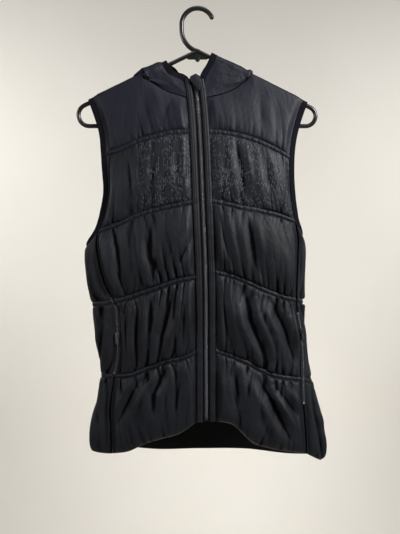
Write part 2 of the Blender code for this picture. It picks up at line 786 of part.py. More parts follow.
def hood_grid(side):
    stations = hood_stations(side)
    neck, neck_outs = neck_edge(side)
    neck_places = np.array(HOOD_NECK_PLACES)
    even = np.linspace(0.0, 4.0, len(neck_places))
    rows = np.array(HOOD_ROWS)
    loose = smoothstep(rows / 3.0)
    base = np.empty((len(rows), len(even), 3))
    for number, row in enumerate(rows):
        places = mix(neck_places, even, loose[number])
        line = smooth_grid(stations, places, np.array([0.0, row]))
        settle = (neck - line[:, 0]) * (1.0 - smoothstep(row / 1.5))
        base[number] = clear_of_arm(line[:, 1] + settle, mix(*ARM_CLEARANCE, smoothstep(row / 0.6)))
    base[0] = neck
    across = np.gradient(base, axis=1)
    up = np.gradient(base, axis=0)
    out = side * unit(np.cross(across, up))
    out[0] = neck_outs
    first = even[None, :]
    second = rows[:, None]
    edge = np.minimum(first, 4.0 - first) * 30.0
    ends = np.minimum(second, 9.0 - second) * 20.0
    rise = smoothstep(np.minimum(edge, ends) / 16.0)
    crest = np.exp(-((second - 3.4) / 0.9) ** 2) * smoothstep(2.4 - first)
    thick = SEAM + rise * (HOOD_LOFT + HOOD_CREST_LOFT[side] * crest)
    return base, base + out * thick[..., None], out


# ---------------------------------------------------------------- meshes

def material(finish):
    name, colour, roughness, metallic = finish
    found = bpy.data.materials.get(name)
    if found:
        return found
    new = bpy.data.materials.new(name)
    new.use_nodes = True
    shader = new.node_tree.nodes["Principled BSDF"]
    shader.inputs["Base Color"].default_value = (*colour, 1.0)
    shader.inputs["Roughness"].default_value = roughness
    shader.inputs["Metallic"].default_value = metallic
    return new


def finish_mesh(name, bm, finish, matrix=None, sharp=50.0):
    bmesh.ops.recalc_face_normals(bm, faces=bm.faces)
    mesh = bpy.data.meshes.new(name)
    bm.to_mesh(mesh)
    bm.free()
    mesh.shade_smooth()
    mesh.set_sharp_from_angle(angle=math.radians(sharp))
    mesh.materials.append(material(finish))
    thing = bpy.data.objects.new(name, mesh)
    if matrix is not None:
        thing.matrix_world = matrix
    bpy.context.collection.objects.link(thing)
    return thing


def wall(name, inner, outer, finish):
    """Closed wall between two grids of points."""
    rows, columns = inner.shape[:2]
    bm = bmesh.new()
    sheets = []
    for grid in (inner, outer):
        sheets.append([[bm.verts.new(point * MM) for point in row] for row in grid])
    for sheet in sheets:
        for i in range(rows - 1):
            for j in range(columns - 1):
                bm.faces.new((sheet[i][j], sheet[i][j + 1], sheet[i + 1][j + 1], sheet[i + 1][j]))
    rim = [(0, j) for j in range(columns)]
    rim += [(i, columns - 1) for i in range(1, rows)]
    rim += [(rows - 1, j) for j in range(columns - 2, -1, -1)]
    rim += [(i, 0) for i in range(rows - 2, 0, -1)]
    for (i, j), (k, m) in zip(rim, rim[1:] + rim[:1]):
        bm.faces.new((sheets[0][i][j], sheets[0][k][m], sheets[1][k][m], sheets[1][i][j]))
    return finish_mesh(name, bm, finish)


def sweep(name, sections, finish, closed=False):
    """Closed solid through sections of the same number of points."""
    bm = bmesh.new()
    rings = [[bm.verts.new(point * MM) for point in ring] for ring in sections]
    around = len(rings[0])
    pairs = list(zip(rings, rings[1:]))
    if closed:
        pairs.append((rings[-1], rings[0]))
    for ring, following in pairs:
        for j in range(around):
            k = (j + 1) % around
            bm.faces.new((ring[j], ring[k], following[k], following[j]))
    if not closed:
        bm.faces.new(rings[0])
        bm.faces.new(rings[-1])
    return finish_mesh(name, bm, finish)


def box(bm, low, high):
    """Box between two corners, in millimetres."""
    made = bmesh.ops.create_cube(bm, size=1.0)
    low = Vector(low)
    high = Vector(high)
    for vert in made["verts"]:
        vert.co = Vector([mix(a, b, c + 0.5) for a, b, c in zip(low, high, vert.co)]) * MM
    return made["verts"]


# ---------------------------------------------------------------- hanger

def rod(name, points, radius, cyclic):
    path = bpy.data.curves.new(name, "CURVE")
    path.dimensions = "3D"
    path.bevel_depth = radius * MM
    path.bevel_resolution = 3
    path.use_fill_caps = True
    spline = path.splines.new("POLY")
    spline.points.add(len(points) - 1)
    for place, (x, drop) in zip(spline.points, points):
        place.co = (x * MM, 0.0, -drop * MM, 1.0)
    spline.use_cyclic_u = cyclic
    thing = bpy.data.objects.new(name, path)
    bpy.context.collection.objects.link(thing)
    mesh = bpy.data.meshes.new_from_object(thing)
    bpy.data.objects.remove(thing)
    return mesh


def arc(centre, radius, start, end, steps):
    """Points of an arc in x and drop; angles in degrees, 0 at +X and 90 up."""
    angles = np.radians(np.linspace(start, end, steps + 1))
    return [(centre[0] + radius * math.cos(a), centre[1] - radius * math.sin(a)) for a in angles]


def frame_path():
    """Arms, end loops and bar as one closed path."""
    points = []
    for side in (LEFT, RIGHT):
        slope = ARM_SLOPE + side * ARM_TILT
        arm_at_loop = APEX_DROP + slope * LOOP_X
        radius = (BAR_DROP - arm_at_loop) / (1.0 + math.hypot(1.0, slope))
        centre = (side * LOOP_X, BAR_DROP - radius)
        lean = 90.0 - math.degrees(math.atan(slope))
        loop = arc((LOOP_X, centre[1]), radius, lean, -90.0, 12)
        loop = [(side * x, drop) for x, drop in loop]
        points += loop if side == LEFT else loop[::-1]
        if side == RIGHT:
            points.append((0.0, APEX_DROP))
    return points


def hook_path():
    points = arc((0.0, HOOK_RADIUS - HOOK_ROD), HOOK_RADIUS, HOOK_TIP_ANGLE, 180.0, 18)
    low = points[-1][1] + HOOK_STRAIGHT
    end = 270.0 - math.degrees(math.atan(ARM_SLOPE + ARM_TILT))
    centre = (-HOOK_RADIUS + HOOK_NECK_RADIUS, low)
    points += arc(centre, HOOK_NECK_RADIUS, 180.0, end, 8)
    points.append((3.0, APEX_DROP + 3.0 * ARM_SLOPE))
    return points


def make_hanger():
    frame = rod("frame", frame_path(), ROD, True)
    hook = rod("hook", hook_path(), HOOK_ROD, False)
    bm = bmesh.new()
    top = APEX_DROP
    corners = ((0.0, top), (WEB_HALF_WIDTH, top + ARM_SLOPE * WEB_HALF_WIDTH),
               (WEB_HALF_WIDTH * 0.8, WEB_DROP), (-WEB_HALF_WIDTH * 0.8, WEB_DROP),
               (-WEB_HALF_WIDTH, top + ARM_SLOPE * WEB_HALF_WIDTH))
    verts = [bm.verts.new((x * MM, -WEB_THICK / 2 * MM, -drop * MM)) for x, drop in corners]
    face = bm.faces.new(verts)
    pushed = bmesh.ops.extrude_face_region(bm, geom=[face])
    moved = [part for part in pushed["geom"] if isinstance(part, bmesh.types.BMVert)]
    bmesh.ops.translate(bm, verts=moved, vec=(0.0, WEB_THICK * MM, 0.0))
    web = finish_mesh("web", bm, HANGER_PLASTIC)
    bm = bmesh.new()
    turn = Matrix.Rotation(math.pi / 2, 4, "X")
    place = Matrix.Translation((0.0, 0.0, -WEB_DROP * MM))
    bmesh.ops.create_cone(bm, cap_ends=True, segments=16, radius1=NUB_RADIUS * MM,
                          radius2=NUB_RADIUS * MM, depth=NUB_THICK * MM, matrix=place @ turn)
    nub = finish_mesh("nub", bm, HANGER_PLASTIC)
    hook_thing = bpy.data.objects.new("hook", hook)
    bpy.context.collection.objects.link(hook_thing)
    hanger = bpy.data.objects.new("hanger", frame)
    bpy.context.collection.objects.link(hanger)
    frame.materials.clear()
    frame.materials.append(material(HANGER_PLASTIC))
    for tool in (hook_thing, web, nub):
        joined = hanger.modifiers.new(tool.name, "BOOLEAN")
        joined.operation = "UNION"
        joined.solver = "EXACT"
        joined.object = tool
        tool.hide_render = True
        tool.display_type = "WIRE"
    return hanger


# ---------------------------------------------------------------- zips

def make_front_zip():
    strip_outline = ((STRIP_INNER, 1.5), (STRIP_INNER + 0.4, 4.0), (11.0, 5.2), (14.8, 4.5),
                     (FRONT_INNER - GAP, 1.5))
    tape_outline = ((TAPE_INNER, 0.0), (TAPE_INNER, TAPE_THICK), (TAPE_HALF_WIDTH, TAPE_THICK),
                    (TAPE_HALF_WIDTH, 0.0))
    for side in (RIGHT, LEFT):
        drops = strip_drops(side)
        name = SIDE_NAMES[side]
        sweep(f"zip_strip_{name}", zip_sections(side, drops, strip_outline), SHELL)
        sweep(f"zip_tape_{name}", zip_sections(side, drops, tape_outline), ZIP_CLOTH)
    half = TEETH_HALF_WIDTH
    teeth_outline = ((-half, TEETH_BASE), (-half * 0.9, TEETH_TOP), (half * 0.9, TEETH_TOP),
                     (half, TEETH_BASE))
    middle = [drop for drop in strip_drops(LEFT) if TEETH_DROPS[0] < drop < TEETH_DROPS[1]]
    drops = [TEETH_DROPS[0]] + middle + [TEETH_DROPS[1]]
    sweep("zip_teeth", zip_sections(LEFT, drops, teeth_outline), ZIP_PLASTIC)
    slider_outline = ((-4.9, 1.5), (-4.9, 6.6), (4.9, 6.6), (4.9, 1.5), (3.7, 1.5), (3.7, 4.5),
                      (-3.7, 4.5), (-3.7, 1.5))
    sweep("zip_slider", zip_sections(LEFT, SLIDER_DROPS, slider_outline), ZIP_PLASTIC)
    low, high = GARAGE_HEIGHTS
    rings = []
    for height in (low, high):
        ring = [front_at(x, drop) + front_normal(x, drop) * height for x, drop in GARAGE]
        rings.append(np.array(ring))
    sweep("zip_garage", rings, SHELL)


def pocket_frame(side, drop):
    """Point on the pocket seam with its across, outward and upward directions."""
    def point(part, at):
        return side_point(side, part, at)

    here = cloth(side, outer_place(side, drop), drop)
    out = side * normals(point, 0.0, drop, 0.01, 0.4)
    above = cloth(side, outer_place(side, drop - 1.0), drop - 1.0)
    below = cloth(side, outer_place(side, drop + 1.0), drop + 1.0)
    up = unit(above - below)
    across = unit(np.cross(out, up))
    out = np.cross(up, across)
    return here, across, out, up


def make_pocket_zip(side):
    name = SIDE_NAMES[side]
    top, slider, bottom = POCKETS[side]
    half = POCKET_TAPE_HALF
    teeth = POCKET_TEETH_HALF
    outline = ((-half, POCKET_TAPE_BASE), (-half, POCKET_TAPE_TOP), (-teeth - 0.3, POCKET_TAPE_TOP),
               (-teeth, POCKET_TEETH_TOP), (teeth, POCKET_TEETH_TOP),
               (teeth + 0.3, POCKET_TAPE_TOP), (half, POCKET_TAPE_TOP), (half, POCKET_TAPE_BASE))
    sections = []
    for drop in np.linspace(top, bottom, POCKET_STEPS + 1):
        here, across, out, _ = pocket_frame(side, drop)
        sections.append(np.array([here + across * a + out * h for a, h in outline]))
    sweep(f"pocket_zip_{name}", sections, ZIP_CLOTH)
    here, across, out, up = pocket_frame(side, slider)
    base = POCKET_TEETH_TOP + GAP
    place = Matrix((across, out, up)).transposed().to_4x4()
    place.translation = Vector((here + out * base) * MM)
    half_width, length, thick = POCKET_SLIDER
    bm = bmesh.new()
    box(bm, (-half_width, 0.0, -length / 2), (half_width, thick, length / 2))
    body = finish_mesh(f"pocket_slider_{name}", bm, METAL, place)
    width, span, post, height = BRIDGE
    bm = bmesh.new()
    box(bm, (-width / 2, thick - 0.2, -span / 2), (width / 2, thick + height, span / 2))
    arch = finish_mesh("arch", bm, METAL, place)
    bm = bmesh.new()
    box(bm, (-width, thick, -span / 2 + post), (width, thick + height - post, span / 2 - post))
    window = finish_mesh("window", bm, METAL, place)
    for tool, operation in ((arch, "UNION"), (window, "DIFFERENCE")):
        cut = body.modifiers.new(tool.name, "BOOLEAN")
        cut.operation = operation
        cut.solver = "EXACT"
        cut.object = tool
        tool.hide_render = True
        tool.display_type = "WIRE"
    pivot = Vector((here + out * (base + thick + PULL_PIVOT_HEIGHT)) * MM)
    make_pull(name, place, pivot)


def make_pull(name, place, pivot):
    """Pull tab: its origin is on its hinge axis, under the slider's bridge."""
    width, length, thick = PULL
    hole_width, hole_length = PULL_HOLE
    turned = place.copy()
    turned.translation = pivot
    bm = bmesh.new()
    box(bm, (-width / 2, -thick / 2, PULL_BAR / 2 - length), (width / 2, thick / 2, PULL_BAR / 2))
    corners = [edge for edge in bm.edges
               if abs(edge.verts[0].co.y - edge.verts[1].co.y) > 0.5 * thick * MM]
    bmesh.ops.bevel(bm, geom=corners, offset=1.1 * MM, segments=3, affect="EDGES", profile=0.5)
    tab = finish_mesh(f"pocket_pull_{name}", bm, METAL, turned)
    bm = bmesh.new()
    box(bm, (-hole_width / 2, -thick, -PULL_BAR / 2 - hole_length),
        (hole_width / 2, thick, -PULL_BAR / 2))
    hole = finish_mesh("hole", bm, METAL, turned)
    cut = tab.modifiers.new("hole", "BOOLEAN")
    cut.operation = "DIFFERENCE"
    cut.solver = "EXACT"
    cut.object = hole
    hole.hide_render = True
    hole.display_type = "WIRE"


# ---------------------------------------------------------------- the whole vest

def make_body():
    for side in (RIGHT, LEFT):
        name = SIDE_NAMES[side]
        wall(f"front_{name}", *front_grid(side), SHELL)
        wall(f"side_{name}", *side_grid(side), SHELL)
        points, outs = armhole_path(side)
        band = banded_edge(points, outs, side, ARMHOLE_BAND, 0.0, True)
        sweep(f"armhole_binding_{name}", band, BINDING, closed=True)
    wall("back", *back_grid(), SHELL)


def make_hood():
    paths = {}
    for side in (RIGHT, LEFT):
        base, outer, out = hood_grid(side)
        wall(f"hood_{SIDE_NAMES[side]}", base, outer, SHELL)
        paths[side] = (base[RIM_START:, 0], out[RIM_START:, 0])
    points = np.vstack((paths[RIGHT][0][:-1], paths[LEFT][0][::-1][1:]))
    outs = np.vstack((paths[RIGHT][1][:-1], paths[LEFT][1][::-1][1:]))
    band = banded_edge(points, outs, -1.0, HOOD_BAND, BINDING_CLEARANCE, False)
    sweep("hood_binding", band, BINDING)


def main():
    for thing in list(bpy.data.objects):
        bpy.data.objects.remove(thing)
    make_hanger()
    make_body()
    make_hood()
    make_front_zip()
    for side in (RIGHT, LEFT):
        make_pocket_zip(side)


main()
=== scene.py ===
# Looks of a hooded puffer vest that hangs on a tube hanger.
# Sizes are in millimetres and are scaled to metres when a mesh is made. The origin is where
# the hanger's hook rests on its rod. +X is the wearer's left, +Y the wearer's back, +Z up.
# The stage, the lights and the camera are in metres throughout.
# "Drop" is the distance below the origin. Side +1 is the wearer's left, -1 the right.
import math

import bmesh
import bpy
import numpy as np
from mathutils import Matrix, Vector


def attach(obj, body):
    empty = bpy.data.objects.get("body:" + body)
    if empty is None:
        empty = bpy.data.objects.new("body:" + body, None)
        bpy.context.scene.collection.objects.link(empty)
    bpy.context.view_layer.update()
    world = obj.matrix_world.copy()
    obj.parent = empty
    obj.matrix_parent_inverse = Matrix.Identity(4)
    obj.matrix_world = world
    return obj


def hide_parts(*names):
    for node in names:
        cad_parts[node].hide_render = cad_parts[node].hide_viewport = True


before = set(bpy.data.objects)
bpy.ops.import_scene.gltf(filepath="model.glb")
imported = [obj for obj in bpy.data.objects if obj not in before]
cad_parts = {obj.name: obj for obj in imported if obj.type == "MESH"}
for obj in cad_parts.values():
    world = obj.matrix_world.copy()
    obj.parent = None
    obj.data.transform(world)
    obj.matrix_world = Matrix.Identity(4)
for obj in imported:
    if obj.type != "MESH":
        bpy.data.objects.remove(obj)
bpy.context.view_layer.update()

MM = 0.001
RIGHT, LEFT = -1, 1
SIDE_NAMES = {RIGHT: "right", LEFT: "left"}

# Gaps between the panels and between hood and neckline
GAP = 0.3
NECK_GAP = 0.9
# Thickness of the cloth: at the hood's seams, where it is sewn down, the same on the side
# panels, and at its thinnest
SEAM = 2.4
STITCHED = 1.5
SIDE_STITCHED = 4.4
THINNEST = 0.8
# Channel between two rows of stitches: width, and its ridge's height, shape and unevenness
CHANNEL = 8.0
CHANNEL_RIDGE = 1.7
SIDE_RIDGE = 1.2
CHANNEL_POWER = 0.6
CHANNEL_RIPPLE = (0.45, 3.0)
# Flat margin at a panel's edge, and the width over which the padding rises behind it
EDGE_FLAT = 1.5
EDGE_RISE = 13.0

# Hanger: rods, arms, bar and loops, hook, web and nub, and the parts its curves are made of
ROD = 3.8
HOOK_ROD = 4.0
APEX_DROP = 67.5
ARM_SLOPE = 0.474
ARM_TILT = 0.0105
BAR_DROP = 196.0
LOOP_X = 192.0
HOOK_RADIUS = 27.8
HOOK_TIP_ANGLE = 27.0
HOOK_STRAIGHT = 8.0
HOOK_NECK_RADIUS = 38.0
WEB_HALF_WIDTH = 21.0
WEB_DROP = 82.0
WEB_THICK = 3.0
WEB_TAPER = 0.8
NUB_RADIUS = 4.2
NUB_THICK = 4.0
NUB_BEVEL = (0.6, 3)
NUB_PARTS = 32
SAME_LEVEL = 0.1
HOOK_FOOT = 3.0
LOOP_PARTS = 12
HOOK_PARTS = 18
HOOK_NECK_PARTS = 8
BALL_PARTS = (24, 12)
TUBE_FINENESS = 6

# Cloth over the hanger's arms: radius of the roll, and a quarter of its way round; how soon
# the body grows deep below it and how soon the roll's own depth fades
ROLL = 5.4
QUARTER_ROLL = ROLL * math.pi / 2
BULGE_LENGTH = 110.0
FADE_START = 250.0
FADE_LENGTH = 140.0
# Outline of the body seen from above: an oval, measured in small steps
ROUNDNESS = 2.4
FLATNESS = 0.2
OVAL_STEPS = 1500
# Length along an arm for a length across, and the least distance that counts from its axis
ARM_LENGTHENING = math.hypot(1.0, ARM_SLOPE)
LEAST_DISTANCE = 0.1
# Search for the drop at a path length: first guess and rounds
FIRST_DROP = 90.0
HANG_ROUNDS = 8
# Steps over which directions are measured: across a front, the back and a side panel,
# along x, down, and along a pocket
FRONT_STEP = 0.002
BACK_STEP = 0.001
SIDE_STEP = 0.01
X_STEP = 0.5
DOWN_STEP = 0.4
POCKET_STEP = 1.0

# Inner surface of the body: drop, right outline, left outline, front depth, back depth
BODY = (
    (105, -203, 206, 12, 10),
    (150, -200, 203, 14, 11),
    (200, -186, 188, 26, 17),
    (270, -178, 180, 34, 21),
    (330, -181, 184, 38, 24),
    (380, -193, 187, 40, 26),
    (410, -199, 187, 40, 27),
    (450, -196, 186, 40, 28),
    (520, -187, 188, 40, 30),
    (600, -177, 197, 42, 33),
    (645, -174, 206, 44, 35),
    (700, -179, 216, 47, 38),
    (750, -190, 229, 50, 40),
    (830, -197, 238, 53, 42),
)

# Centre front zip: drop, x
ZIP_LINE = (
    (100, -8), (118, -5.6), (134, -3), (155, -0.6), (200, 3), (260, 6), (310, 8),
    (378, 11), (465, 14), (590, 15), (830, 15.5),
)

# Armhole edge and, below it, the seam to the side panel: drop, right x, left x
OUTER_EDGE = (
    (140, -188, 191), (150, -184, 187), (180, -173, 176),
    (210, -164, 167), (240, -161, 162), (275, -159, 161),
    (310, -157, 163), (345, -163, 168), (370, -170, 173),
    (390, -177, 177), (430, -175, 178), (475, -163, 177),
    (510, -147, 177), (560, -142, 184), (610, -143, 189),
    (645, -150, 190), (700, -158, 192), (750, -157, 196),
    (830, -155, 199),
)

# Seam from the side panel to the back, as a place around the body
# (0 centre front, 1 side, 2 centre back): drop, right, left
BACK_SEAM = (
    (395, 1.18, 1.18), (500, 1.18, 1.12), (600, 1.17, 1.01),
    (650, 1.17, 0.96), (700, 1.17, 0.92), (830, 1.17, 0.92),
)
BACK_SEAM_START = 385.0
BACK_SEAM_BLEND = 25.0

# Path length of the necklines below the shoulder line: distance from centre, front, back
NECKLINE = (
    (0, 95, 66), (16, 84, 59), (28, 74.5, 52), (40, 65.5, 45),
    (52, 55.5, 37), (64, 44, 28.5), (76, 30, 19), (82.5, 22, 14),
    (88.5, 13, 9), (91, 8.6, 6.3), (93, 4.3, 3.4), (95, 0.15, 0.15),
    (300, 0.15, 0.15),
)
CREST_PATH = 0.15

# Quilt seams and hem of the fronts: drop at even steps from the zip to the outer edge
FRONT_LEVELS = {
    RIGHT: (
        (210, 211, 218, 226, 239, 247),
        (330, 336, 343, 353, 368, 381),
        (461, 467, 478, 488, 498, 506),
        (594, 606, 613, 625, 638, 643),
        (720, 742, 752, 763, 779, 786),
    ),
    LEFT: (
        (210, 212, 218, 227, 239, 253),
        (329, 334, 341, 346, 353, 364),
        (452, 459, 471, 485, 497, 506),
        (592, 603, 618, 635, 644, 650),
        (719, 727, 759, 771, 779, 786),
    ),
}
# The same on the back: drop at even steps from the right edge to the left edge
BACK_LEVELS = (
    (250, 240, 236, 236, 240, 250),
    (394, 366, 356, 356, 364, 394),
    (522, 500, 492, 492, 500, 518),
    (652, 640, 634, 634, 642, 660),
    (798, 812, 812, 812, 818, 806),
)
# How far the side panel's top edge dips in the middle
SIDE_TOP_DIP = 24.0

YOKE, CHEST, MIDRIFF, WAIST, HEM = range(5)
# Loft of the five bands
FRONT_LOFT = (6.5, 7.5, 8.5, 8.0, 9.5)
BACK_LOFT = (4.5, 5.0, 6.5, 7.0, 8.5)
SIDE_LOFT = (0.0, 0.0, 4.0, 3.6, 5.0)
# How square the padding is across a band and towards the hem
LOFT_POWER = 0.6
HEM_ROLL = 7
# How freely each band hangs in soft folds, and how hard its lower seam gathers it
LOOSENESS = (0.35, 0.55, 0.7, 1.0, 1.0)
GATHERING = (0.4, 0.55, 1.15, 1.05, 0.6)

# Cut of the top edges: distance from the centre of a front's and of half the back's columns
FRONT_TOP = (16, 28, 40, 52, 64, 74, 82.5, 88.5, 91, 93, 95, 108, 123,
             139, 155, 171, 184)
BACK_TOP = (0, 27, 52, 76, 88.5, 92, 95, 117, 141, 166, 184)
# How many of them lie at the neckline, and the width of the outermost column
NECK_COLUMNS = 10
BACK_NECK_COLUMNS = 6
EDGE_COLUMN = 6.0

# Fineness of the quilted cloth: rows of a band, parts of a channel, columns of the panels
BAND_ROWS = 54
CHANNEL_PARTS = (0.14, 0.28, 0.42, 0.58, 0.72, 0.86)
FRONT_COLUMNS = 124
BACK_COLUMNS = 142
SIDE_COLUMNS = 34
# How much closer the rows and columns stand at their ends, and how the edges are rounded
CROWDING = 0.55
EDGE_ROUND = 2.6
EDGE_THIN = 0.35
# Knots of the uneven waves along a line and over a surface
LINE_KNOTS = 512
FIELD_KNOTS = 128

# Small gathers beside every quilt seam: spacing, height, reach
GATHERS = ((4.6, 1.3, 8.0), (8.0, 2.3, 17.0), (14.0, 2.9, 32.0), (27.0, 2.4, 50.0))
# Their strength as least, varying part and length of its waves
GATHER_STRENGTH = (0.8, 0.5, 40.0)
GATHER_SHIFT = 17.0
GATHER_LEAN = 0.35
GATHER_LEAN_LENGTH = 70.0
LEAN_SHIFT = 5.3
# Ridges and creases: height, what is taken off to keep the mean, and sharpness
GATHER_RIDGE = 1.9
GATHER_FLOOR = 0.85
CREASE_POWER = 0.6
# How soon the gathers rise beside the stitches, how far the drawn look reaches, and how
# drawn a channel looks
STITCH_PULL = 1.5
PULL_REACH = 24.0
CHANNEL_PULL = 0.4
# A hollow, which the finish fills with painted shade, is seen against this many columns to either side,
# full at this depth
HOLLOW_STEPS = 4
HOLLOW_DEPTH = 1.1
# Soft uneven folds all over a band: spacing across, length down, height
SOFT_FOLDS = ((52.0, 190.0, 3.4), (27.0, 85.0, 1.9), (13.0, 34.0, 0.7))
SOFT_SHIFT = 3.7
SOFT_CREASE = 0.3
SOFT_SWAY = (9.0, 60.0)
SOFT_LEAN = {RIGHT: -0.12, LEFT: 0.22}
BACK_LEAN = 0.05
SIDE_LEAN = 0.1
# Seeds of the panels, and what is added for each kind of wave
FRONT_SEED = {RIGHT: 10, LEFT: 20}
BACK_SEED = 30
SIDE_SEED = {RIGHT: 40, LEFT: 50}
HOOD_SEED = {RIGHT: 60, LEFT: 65}
BAND_SEED = 7
LEAN_SEED = 40
STRENGTH_SEED = 80
SWAY_SEED = 60
ABOVE_SEED = 300
BELOW_SEED = 301
CHANNEL_SEED = 500

# Main folds of the fronts: points as x and drop, half width, depth
FRONT_FOLDS = (
    (((-156, 324), (-146, 372)), 7, 4.0), (((-146, 375), (-138, 413), (-134, 466), (-129, 490)), 7, 4.5),
    (((-78, 348), (-83, 413), (-81, 480)), 8, 4.5), (((-74, 434), (-78, 478)), 5, 3.0),
    (((-64, 445), (-64, 478)), 4, 2.5), (((-8, 276), (-30, 304), (-51, 332)), 6, 4.0),
    (((-72, 259), (-82, 327)), 6, 3.0), (((-8, 387), (-34, 439), (-43, 466)), 7, 5.0),
    (((-104, 501), (-109, 573), (-108, 627)), 7, 4.5), (((-80, 494), (-84, 555)), 6, 3.5),
    (((-43, 483), (-52, 528), (-63, 564), (-67, 600)), 8, 6.0),
    (((-103, 646), (-121, 682), (-143, 729)), 7, 4.5), (((-85, 631), (-103, 655)), 5, 3.0),
    (((-56, 624), (-76, 668), (-78, 701)), 7, 4.5), (((20, 285), (35, 336)), 6, 3.0),
    (((35, 341), (46, 396), (60, 448)), 7, 4.5), (((58, 193), (67, 226)), 6, 3.0),
    (((67, 229), (76, 276), (82, 327)), 7, 5.5), (((84, 348), (91, 379), (100, 431), (109, 471)), 7, 5.0),
    (((43, 483), (54, 591)), 7, 4.0), (((83, 480), (92, 537), (114, 591), (129, 627)), 8, 6.0),
    (((127, 498), (154, 555), (173, 618)), 8, 6.0),
    (((106, 642), (126, 673), (148, 720), (167, 757)), 8, 5.5),
    (((129, 646), (157, 682), (184, 720)), 7, 4.5), (((67, 631), (72, 682)), 6, 3.0),
    (((-40, 150), (-52, 176), (-60, 204)), 9, 2.5), (((-92, 128), (-88, 190), (-96, 228)), 9, 2.5),
    (((110, 142), (112, 190), (120, 232)), 9, 2.5), (((136, 160), (142, 232)), 8, 2.5),
    (((-30, 225), (-38, 318)), 6, 2.2), (((118, 250), (126, 340)), 7, 2.8),
    (((-118, 262), (-112, 330)), 6, 2.6), (((22, 392), (30, 446)), 5, 2.2),
    (((-22, 510), (-26, 580)), 6, 2.2),
    (((-128, 520), (-126, 610)), 6, 3.0), (((28, 640), (34, 700)), 7, 2.4),
    (((-30, 640), (-40, 705)), 7, 2.4),
)
# The same on the back
BACK_FOLDS = (
    (((-118, 262), (-104, 330), (-100, 352)), 9, 3.5), (((-60, 250), (-50, 300), (-55, 345)), 8, 2.5),
    (((20, 255), (14, 320)), 9, 2.2), (((74, 250), (92, 310), (88, 350)), 8, 3.0),
    (((-150, 400), (-128, 450), (-120, 490)), 8, 4.5), (((-70, 372), (-78, 430), (-66, 486)), 9, 4.0),
    (((4, 366), (-4, 440), (2, 480)), 10, 3.0), (((60, 372), (52, 420), (58, 482)), 8, 3.5),
    (((132, 380), (120, 440), (104, 486)), 8, 4.5), (((-140, 530), (-128, 600), (-132, 640)), 9, 4.5),
    (((-84, 510), (-98, 570), (-92, 628)), 8, 5.0), (((-26, 502), (-30, 560), (-20, 624)), 9, 3.5),
    (((40, 506), (48, 580), (44, 626)), 9, 4.0), (((96, 512), (112, 580), (124, 634)), 9, 5.5),
    (((160, 520), (166, 600)), 8, 4.0), (((-130, 656), (-142, 720), (-150, 780)), 9, 5.0),
    (((-62, 648), (-66, 720), (-74, 790)), 10, 4.5), (((6, 642), (10, 720), (6, 780)), 10, 3.5),
    (((72, 650), (82, 720), (90, 790)), 9, 4.5), (((140, 660), (158, 730), (168, 790)), 9, 5.0),
)
# Shape of a main fold: depth, how much of it is a sharp crease, the ridges beside it, and
# the part of a half wave over which it fades in and out along its length
FOLD_DEPTH = 1.35
FOLD_CREASE = 0.6
FOLD_SHARPNESS = 1.7
FOLD_RIM = 0.45
FOLD_RIM_PLACE = 2.0
FOLD_RIM_WIDTH = 0.9
FOLD_ENDS = (0.12, 0.94)
# Where the print fades out across the right front, and over how much of its width
PRINT_FADE = (0.42, 0.35)

# Front zip: inner edges of the fronts and of the facings, and the facings' top
FRONT_INNER = 16.0
STRIP_INNER = 7.0
STRIP_TOP_DROP = 118.0
ZIP_ROWS = 260
# Facing, folded in half with its fold towards the zip, as distance from the zip and height:
# its lower layer, then the upper one with the groove in which its stitches lie
STRIP_CLOTH = 0.9
STRIP_OUTER = FRONT_INNER - GAP
STRIP_GROOVE = (11.4, 4.1)
STRIP_OUTLINE = (
    (STRIP_OUTER, 0.6), (12.0, 0.5), (9.0, 0.6), (STRIP_INNER + 0.6, 0.9), (STRIP_INNER, 1.6),
    (STRIP_INNER + 0.1, 2.4), (STRIP_INNER + 0.5, 3.4), (STRIP_INNER + 1.4, 4.1), (10.6, 4.5),
    STRIP_GROOVE, (12.2, 4.5), (14.6, 4.3), (STRIP_OUTER, 3.2),
)
# Its unevenness as share, length and seed, and the rows without a stitch at its ends
STRIP_SWELL = ((0.08, 9.0, 81), (0.08, 24.0, 85))
GROOVE_INSET = 3
# Tape in the same measures, with a low rib beside the teeth
TAPE_HALF_WIDTH = 15.0
TAPE_INNER = 0.3
TAPE_BASE = 0.1
TAPE_CLOTH = 0.8
TAPE_OUTLINE = (
    (TAPE_INNER, TAPE_BASE), (TAPE_INNER, TAPE_CLOTH), (4.2, TAPE_CLOTH + 0.3), (5.2, TAPE_CLOTH),
    (TAPE_HALF_WIDTH, TAPE_CLOTH), (TAPE_HALF_WIDTH, TAPE_BASE),
)
# Teeth: size, spacing, distance to either side of the zip's middle, and the stop below them
TEETH_BASE = 1.4
TEETH_DROPS = (121.0, 715.0)
TOOTH = (3.9, 1.7, 2.5)
TOOTH_BEVEL = 0.35
TOOTH_PITCH = 3.6
TOOTH_SHIFT = 0.95
ZIP_STOP = (6.4, 6.0, 3.0)
ZIP_STOP_BEVEL = (0.8, 2)
ZIP_STOP_RISE = 1.0
GARAGE_HEIGHTS = (7.1, 9.3)
# Outline of the cloth tab over the zip's top: x, drop
GARAGE = ((-13.5, 121.0), (-12.0, 115.0), (-2.8, 110.5), (4.6, 115.0), (4.6, 141.0), (1.5, 139.0))
# Bevel of small plates: width and parts
PLATE_BEVEL = (0.7, 3)

# Bound edges: width of the bindings beyond the cloth, thickness of the knit, heights of its
# two layers, where they start, and its unevenness as share, length and seed
ARMHOLE_BAND = 8.5
HOOD_BAND = 10.0
BAND_CLOTH = 0.9
BAND_HEIGHTS = (0.35, 2.75)
BAND_OVERLAP = -0.9
BAND_SWELL = ((0.07, 12.0, 71), (0.05, 31.0, 72))
# Points of a fold's straight layers and of its bend
FOLDED_STEPS = (3, 7)
